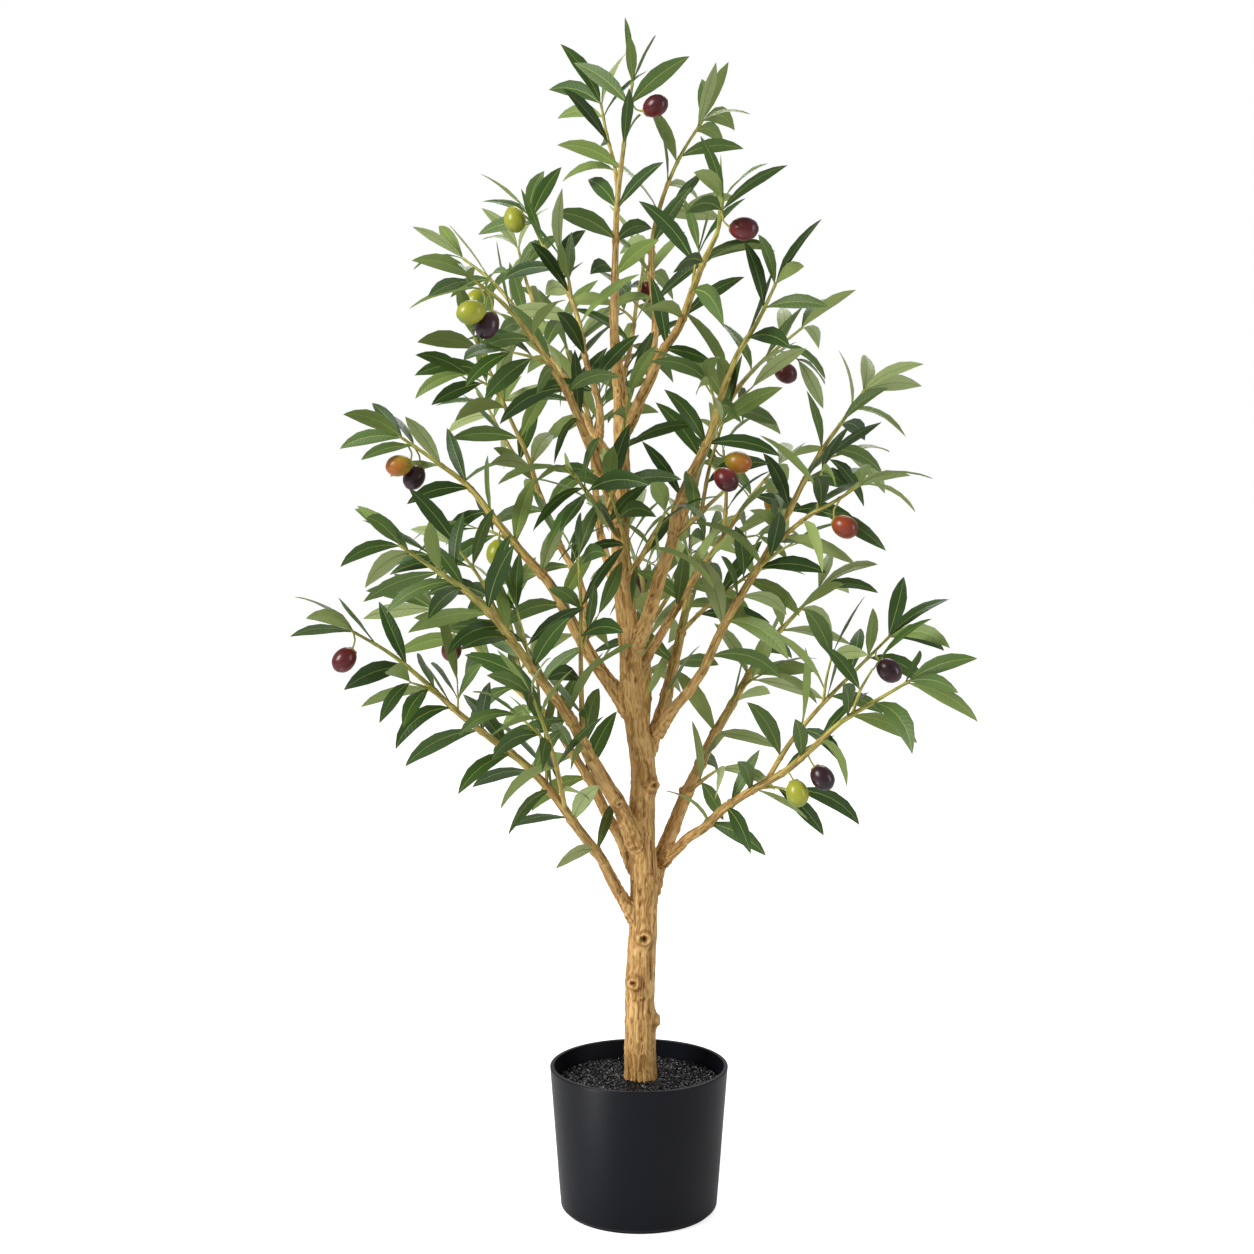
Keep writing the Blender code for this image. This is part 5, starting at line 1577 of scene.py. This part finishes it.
# Olives: turned fruit with a cup and a bent stalk
oliveFinishes = dict(            # colour at the stalk, in the middle and at the tip, and of the cheek
    green=((0.330, 0.340, 0.022), (0.270, 0.300, 0.014), (0.180, 0.225, 0.012), (0.440, 0.430, 0.045)),
    amber=((0.400, 0.330, 0.024), (0.460, 0.190, 0.022), (0.430, 0.085, 0.016), (0.350, 0.270, 0.026)),
    red=((0.330, 0.090, 0.014), (0.215, 0.028, 0.010), (0.095, 0.008, 0.008), (0.380, 0.080, 0.018)),
    burgundy=((0.105, 0.011, 0.010), (0.062, 0.006, 0.009), (0.030, 0.004, 0.008), (0.235, 0.018, 0.018)),
    black=((0.046, 0.010, 0.017), (0.022, 0.006, 0.012), (0.011, 0.004, 0.009), (0.070, 0.016, 0.030)),
)


def oliveFinish(name, colours):
    stalkEnd, middle, tipEnd, cheek = colours
    finish, tree, shader = newFinish("olive" + name.title(), middle, 0.29, 0.42)
    place = objectPlace(tree)
    level = total(tree, (surfaceValue(tree, "along"),), (centred(tree, place, 85.0), 0.5))
    colour = ramp(tree, level, ((0.08, stalkEnd), (0.50, middle), (0.92, tipEnd)))
    patch = calc(tree, "POWER", noiseOn(tree, place, 42.0, 1.0), 3.0)
    patch = calc(tree, "MULTIPLY", patch, 2.2, clamp=True)
    colour = blended(tree, patch, colour, (*cheek, 1.0))
    tree.links.new(colour, shader.inputs["Base Color"])
    shader.inputs["Coat Weight"].default_value = 0.12
    shader.inputs["Coat Roughness"].default_value = 0.20
    addBump(tree, shader, noiseOn(tree, place, 900.0), 0.06, 0.0004)
    return finish


def addOlive(shape, spot, root, slot, stalkSlot, along):
    start, knee, end, hang = spot
    shift = root - start
    start, knee, end = start + shift, knee + shift, end + shift
    aim = hang.to_track_quat("Z", "Y").to_matrix()
    sides, rings = oliveShape["sides"], oliveShape["rings"]
    centre = fruitMiddle(end, hang)
    half, halfWidth = oliveShape["length"] / 2.0, oliveShape["width"] / 2.0
    loops = []
    for ring in range(1, rings):
        turn = math.pi * ring / rings
        level = -math.cos(turn) * half
        if ring == rings - 1:
            level += oliveShape["tipPoint"] * half
        radius = math.sin(turn) ** 0.92 * halfWidth * (1.0 - 0.05 * math.cos(turn))
        loop = []
        for across, back in roundTurns(sides):
            corner = shape.verts.new(centre + aim @ Vector((across * radius, back * radius, level)))
            corner[along] = ring / rings
            loop.append(corner)
        loops.append(loop)
    poles = []
    for share, level in ((0.0, -half), (1.0, half * (1.0 + oliveShape["tipPoint"]))):
        corner = shape.verts.new(centre + aim @ Vector((0.0, 0.0, level)))
        corner[along] = share
        poles.append(corner)
    closeLoops(shape, loops, poles, slot)

    # the cup at the stalk's end
    cup = []
    for level, radius in ((-0.955, 0.10), (-0.985, 0.34), (-0.90, 0.46), (-0.86, 0.42)):
        loop = []
        for side, (across, back) in enumerate(roundTurns(10)):
            reach = radius * halfWidth * (1.1 if side % 2 == 0 else 0.9)         # five lobes
            corner = Vector((across * reach, back * reach, (level - 0.03) * half))
            loop.append(shape.verts.new(centre + aim @ corner))
        cup.append(loop)
    poles = [shape.verts.new(centre - hang * (1.03 * half)), shape.verts.new(centre - hang * (0.80 * half))]
    closeLoops(shape, cup, poles, stalkSlot)

    # the stalk, bent over a knee
    bent = growPath([start, start.lerp(knee, 0.55), knee, end, end + hang * 0.002])
    loops = []
    for step in range(13):
        part = step / 12.0
        point = bent.softPoint(part)
        slope = (bent.softPoint(min(1.0, part + 0.02)) - bent.softPoint(max(0.0, part - 0.02))).normalized()
        side = slope.cross(Vector((0.31, 0.95, 0.1))).normalized()
        lift = slope.cross(side)
        flare = 1.0 + 0.5 * math.exp(-((part - 1.0) / 0.12) ** 2) + 0.35 * math.exp(-(part / 0.12) ** 2)
        radius = oliveShape["stalkRadius"] * 0.85 * flare
        loops.append([shape.verts.new(point + side * (across * radius) + lift * (back * radius))
                      for across, back in roundTurns(8)])
    poles = [shape.verts.new(bent.softPoint(0.0)), shape.verts.new(bent.softPoint(1.0))]
    closeLoops(shape, loops, poles, stalkSlot)


def roundTurns(count):
    # cosine and sine of even steps round a circle
    angles = [2.0 * math.pi * step / count for step in range(count)]
    return [(math.cos(angle), math.sin(angle)) for angle in angles]


def closeLoops(shape, loops, poles, slot):
    # a closed skin over rings of corners, with a pole at either end
    faces = []
    for near, far in zip(loops, loops[1:]):
        for side in range(len(near)):
            other = (side + 1) % len(near)
            faces.append(shape.faces.new((near[side], near[other], far[other], far[side])))
    for loop, pole in ((loops[0], poles[0]), (loops[-1], poles[1])):
        for side in range(len(loop)):
            faces.append(shape.faces.new((loop[side], loop[(side + 1) % len(loop)], pole)))
    for face in faces:
        face.material_index = slot
        face.smooth = True
    bmesh.ops.recalc_face_normals(shape, faces=faces)


def makeOlives(shootsOf):
    shape = bmesh.new()
    along = shape.verts.layers.float.new("along")
    names = list(oliveFinishes)
    for index, row in enumerate(hungOlives()):
        path = shootsOf[row.spray][row.shoot]
        spot = leanedPlace(index, row, path)
        addOlive(shape, spot, path.softPoint(row.at), names.index(row.ripeness), len(names), along)
    olives = addPiece("olives", keptMesh(shape, "olives"))
    for name in names:
        olives.data.materials.append(oliveFinish(name, oliveFinishes[name]))
    olives.data.materials.append(shootFinish("oliveStalk", shootTones["stalk"]))
    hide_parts(*sorted({row.spray for row in oliveRows}))
    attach(olives, "root")
    print("olives: %d fruit, %d faces" % (len(oliveRows), len(olives.data.polygons)))


# Pot: a turned shell of satin plastic
potShape = dict(
    height=0.150, topRadius=0.0905, footRadius=0.0795, wall=0.0042, floor=0.0035,
    edgeRadius=0.006, cornerRadius=0.004, sides=144, footHeight=0.0016, lipInside=0.0008, lipOutside=0.0012,
)


def arc(centreRadius, centreHeight, radius, start, end, steps):
    points = []
    for step in range(steps + 1):
        turn = math.radians(start + (end - start) * step / steps)
        points.append((centreRadius + radius * math.cos(turn), centreHeight + radius * math.sin(turn)))
    return points


def turnedMesh(name, outline, sides):
    # a closed turned shape from an outline that starts and ends on the axis
    shape = bmesh.new()
    loops = [[shape.verts.new((across * radius, back * radius, height)) for across, back in roundTurns(sides)]
             for radius, height in outline[1:-1]]
    poles = [shape.verts.new((0.0, 0.0, outline[0][1])), shape.verts.new((0.0, 0.0, outline[-1][1]))]
    closeLoops(shape, loops, poles, 0)
    return keptMesh(shape, name)


def potFinish():
    finish, tree, shader = newFinish("satinBlackPlastic", (0.0044, 0.0048, 0.0078), 0.38, 0.17)
    place = objectPlace(tree)
    cloud = noiseOn(tree, place, 14.0, 3.0)
    colour = ramp(tree, cloud, ((0.30, (0.0036, 0.0040, 0.0068)), (0.70, (0.0050, 0.0055, 0.0086))))
    tree.links.new(colour, shader.inputs["Base Color"])
    streaks = noiseOn(tree, calcVector(tree, "MULTIPLY", place, (1.0, 1.0, 0.25)), 60.0, 4.0)
    varyRoughness(tree, shader, streaks, 0.35, 0.43)
    addBump(tree, shader, noiseOn(tree, place, 1900.0, 2.0), 0.10, 0.0002)
    return finish


def makePot():
    size = potShape
    height, corner, radius = size["height"], size["cornerRadius"], size["edgeRadius"]
    slope = (size["topRadius"] - size["footRadius"]) / height

    def onWall(foot, *levels):
        return [(foot + slope * level * height, level * height) for level in levels]

    innerFoot = size["footRadius"] - size["wall"] + slope * size["floor"]
    outline = [(0.0, size["floor"]), (innerFoot - corner, size["floor"])]
    outline += arc(innerFoot - corner, size["floor"] + corner, corner, -90.0, 0.0, 5)[1:]
    outline += onWall(innerFoot, 0.2, 0.5, 0.8)
    for lip, place, start, end in (
        (size["lipInside"], size["topRadius"] - size["wall"] + size["lipInside"], 180.0, 90.0),
        (size["lipOutside"], size["topRadius"] - size["lipOutside"], 90.0, 0.0),
    ):
        outline += arc(place, height - lip, lip, start, end, 5)
    outline += onWall(size["footRadius"], 0.97, 0.8, 0.5, 0.2)
    middle = size["footRadius"] + slope * radius - radius
    outline += arc(middle, radius + size["footHeight"], radius, 0.0, -72.0, 8)
    # a low ring to stand on, with a small chamfer
    ringFoot = middle + 0.0012
    outline += [(ringFoot, size["footHeight"] + 0.0002), (ringFoot - 0.0003, 0.0003),
                (ringFoot - 0.0008, 0.0), (0.0, 0.0)]
    pot = addPiece("pot_shell", turnedMesh("pot_shell", outline, size["sides"]))
    pot.data.materials.append(potFinish())
    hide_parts("pot")
    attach(pot, "root")
    print("pot: %d faces" % len(pot.data.polygons))


# Granules: a rough bed with small crushed stones scattered over it
granuleShape = dict(
    top=0.1355, dip=0.0035, flatRadius=0.024, sides=96, bedRough=0.0009,
    spacing=0.0035, smallest=0.0016, largest=0.0031, holeRadius=0.0135, edge=0.0022, seed=5,
    joltScale=420.0, jolt=0.0022, bedRings=24, bedScale=160.0, footIn=0.003,
)


def granuleTree():
    tree, given, result = newTree(
        "granulesOnBed", Object="Stone", Float="Spacing, Smallest, Largest", Int="Seed", Material="Chips")
    feeds = {"Mesh": given["Geometry"], "Distance Min": given["Spacing"], "Density Max": 400000.0,
             "Seed": given["Seed"]}
    spots = put(tree, "GeometryNodeDistributePointsOnFaces", feeds, distribute_method="POISSON")
    turns = {"Max": (6.28, 6.28, 6.28), "Seed": 1}
    turn = put(tree, "FunctionNodeRandomValue", turns, data_type="FLOAT_VECTOR").outputs[0]
    sizes = {"Seed": 2}
    for end, label in (("Min", "Smallest"), ("Max", "Largest")):
        even = put(tree, "ShaderNodeCombineXYZ", {axis: given[label] for axis in "XYZ"})
        sizes[end] = even.outputs["Vector"]
    size = put(tree, "FunctionNodeRandomValue", sizes, data_type="FLOAT_VECTOR").outputs[0]
    rotation = put(tree, "FunctionNodeEulerToRotation", {"Euler": turn}).outputs[0]
    many = realized(tree, {"Points": spots.outputs["Points"], "Instance": geometryOf(tree, given["Stone"]),
                           "Rotation": rotation, "Scale": size})
    place = put(tree, "GeometryNodeInputPosition").outputs[0]
    jolt = noiseShift(tree, place, granuleShape["joltScale"], granuleShape["jolt"])
    many = put(tree, "GeometryNodeSetPosition", {"Geometry": many, "Offset": jolt}).outputs["Geometry"]
    tree.links.new(coated(tree, many, given["Chips"]), result["Geometry"])
    return tree


def granuleFinish():
    finish, tree, shader = newFinish("blackGranules", (0.0040, 0.0040, 0.0046), 0.20, 0.32)
    place = objectPlace(tree)
    stops = ((0.35, (0.0018, 0.0018, 0.0022)), (0.70, (0.0085, 0.0082, 0.0090)))
    tree.links.new(ramp(tree, noiseOn(tree, place, 260.0), stops), shader.inputs["Base Color"])
    varyRoughness(tree, shader, noiseOn(tree, place, 330.0, 1.0), 0.12, 0.40)
    addBump(tree, shader, noiseOn(tree, place, 2200.0, 3.0), 0.35, 0.0004)
    return finish


def makeGranules():
    size = granuleShape
    gap = growth["gap"]
    slope = (potShape["topRadius"] - potShape["footRadius"]) / potShape["height"]
    foot = potShape["floor"] + gap
    edgeHeight = size["top"] - size["dip"]
    atTop = potShape["footRadius"] - potShape["wall"] + slope * edgeHeight - gap
    atFoot = potShape["footRadius"] - potShape["wall"] + slope * foot - gap - size["footIn"]
    outline = [(0.0, size["top"])]
    for step in range(1, size["bedRings"] + 1):
        radius = atTop * step / size["bedRings"]
        fall = max(0.0, (radius - size["flatRadius"]) / (atTop - size["flatRadius"]))
        outline.append((radius, size["top"] - size["dip"] * fall))
    outline += [(atFoot, foot), (0.0, foot)]
    mesh = turnedMesh("bed", outline, size["sides"])
    for corner in mesh.vertices:
        if corner.co.z > edgeHeight - 0.001 and corner.co.xy.length < atTop - 0.001:
            corner.co.z += size["bedRough"] * noise.noise(corner.co * size["bedScale"])
    finish = granuleFinish()
    mesh.materials.append(finish)
    bed = addPiece("granule_bed", mesh)

    ground = bmesh.new()
    ground.from_mesh(mesh)
    lost = []
    for face in ground.faces:
        away = face.calc_center_median().xy.length
        if face.normal.z < 0.5 or not size["holeRadius"] < away < atTop - size["edge"]:
            lost.append(face)
    bmesh.ops.delete(ground, geom=lost, context="FACES")
    stone = bmesh.new()
    bmesh.ops.create_icosphere(stone, subdivisions=1, radius=1.0)
    pebble = addPiece("stone", keptMesh(stone, "stone"))
    settings = dict(size, stone=pebble, chips=finish)
    chips = runTree(addPiece("ground", keptMesh(ground, "ground")), granuleTree(), settings, "chips")
    bpy.data.objects.remove(pebble, do_unlink=True)
    granules = joined("granules", [chips, bed])
    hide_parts("granule_fill")
    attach(granules, "root")
    print("granules: %d faces" % len(granules.data.polygons))


makeStudio()
crown, paths, shootsOf, twigsOf = growCrown()
makeBark(paths)
makeShoots(crown, paths, shootsOf, twigsOf)
makeLeaves(crown)
makeOlives(shootsOf)
makePot()
makeGranules()
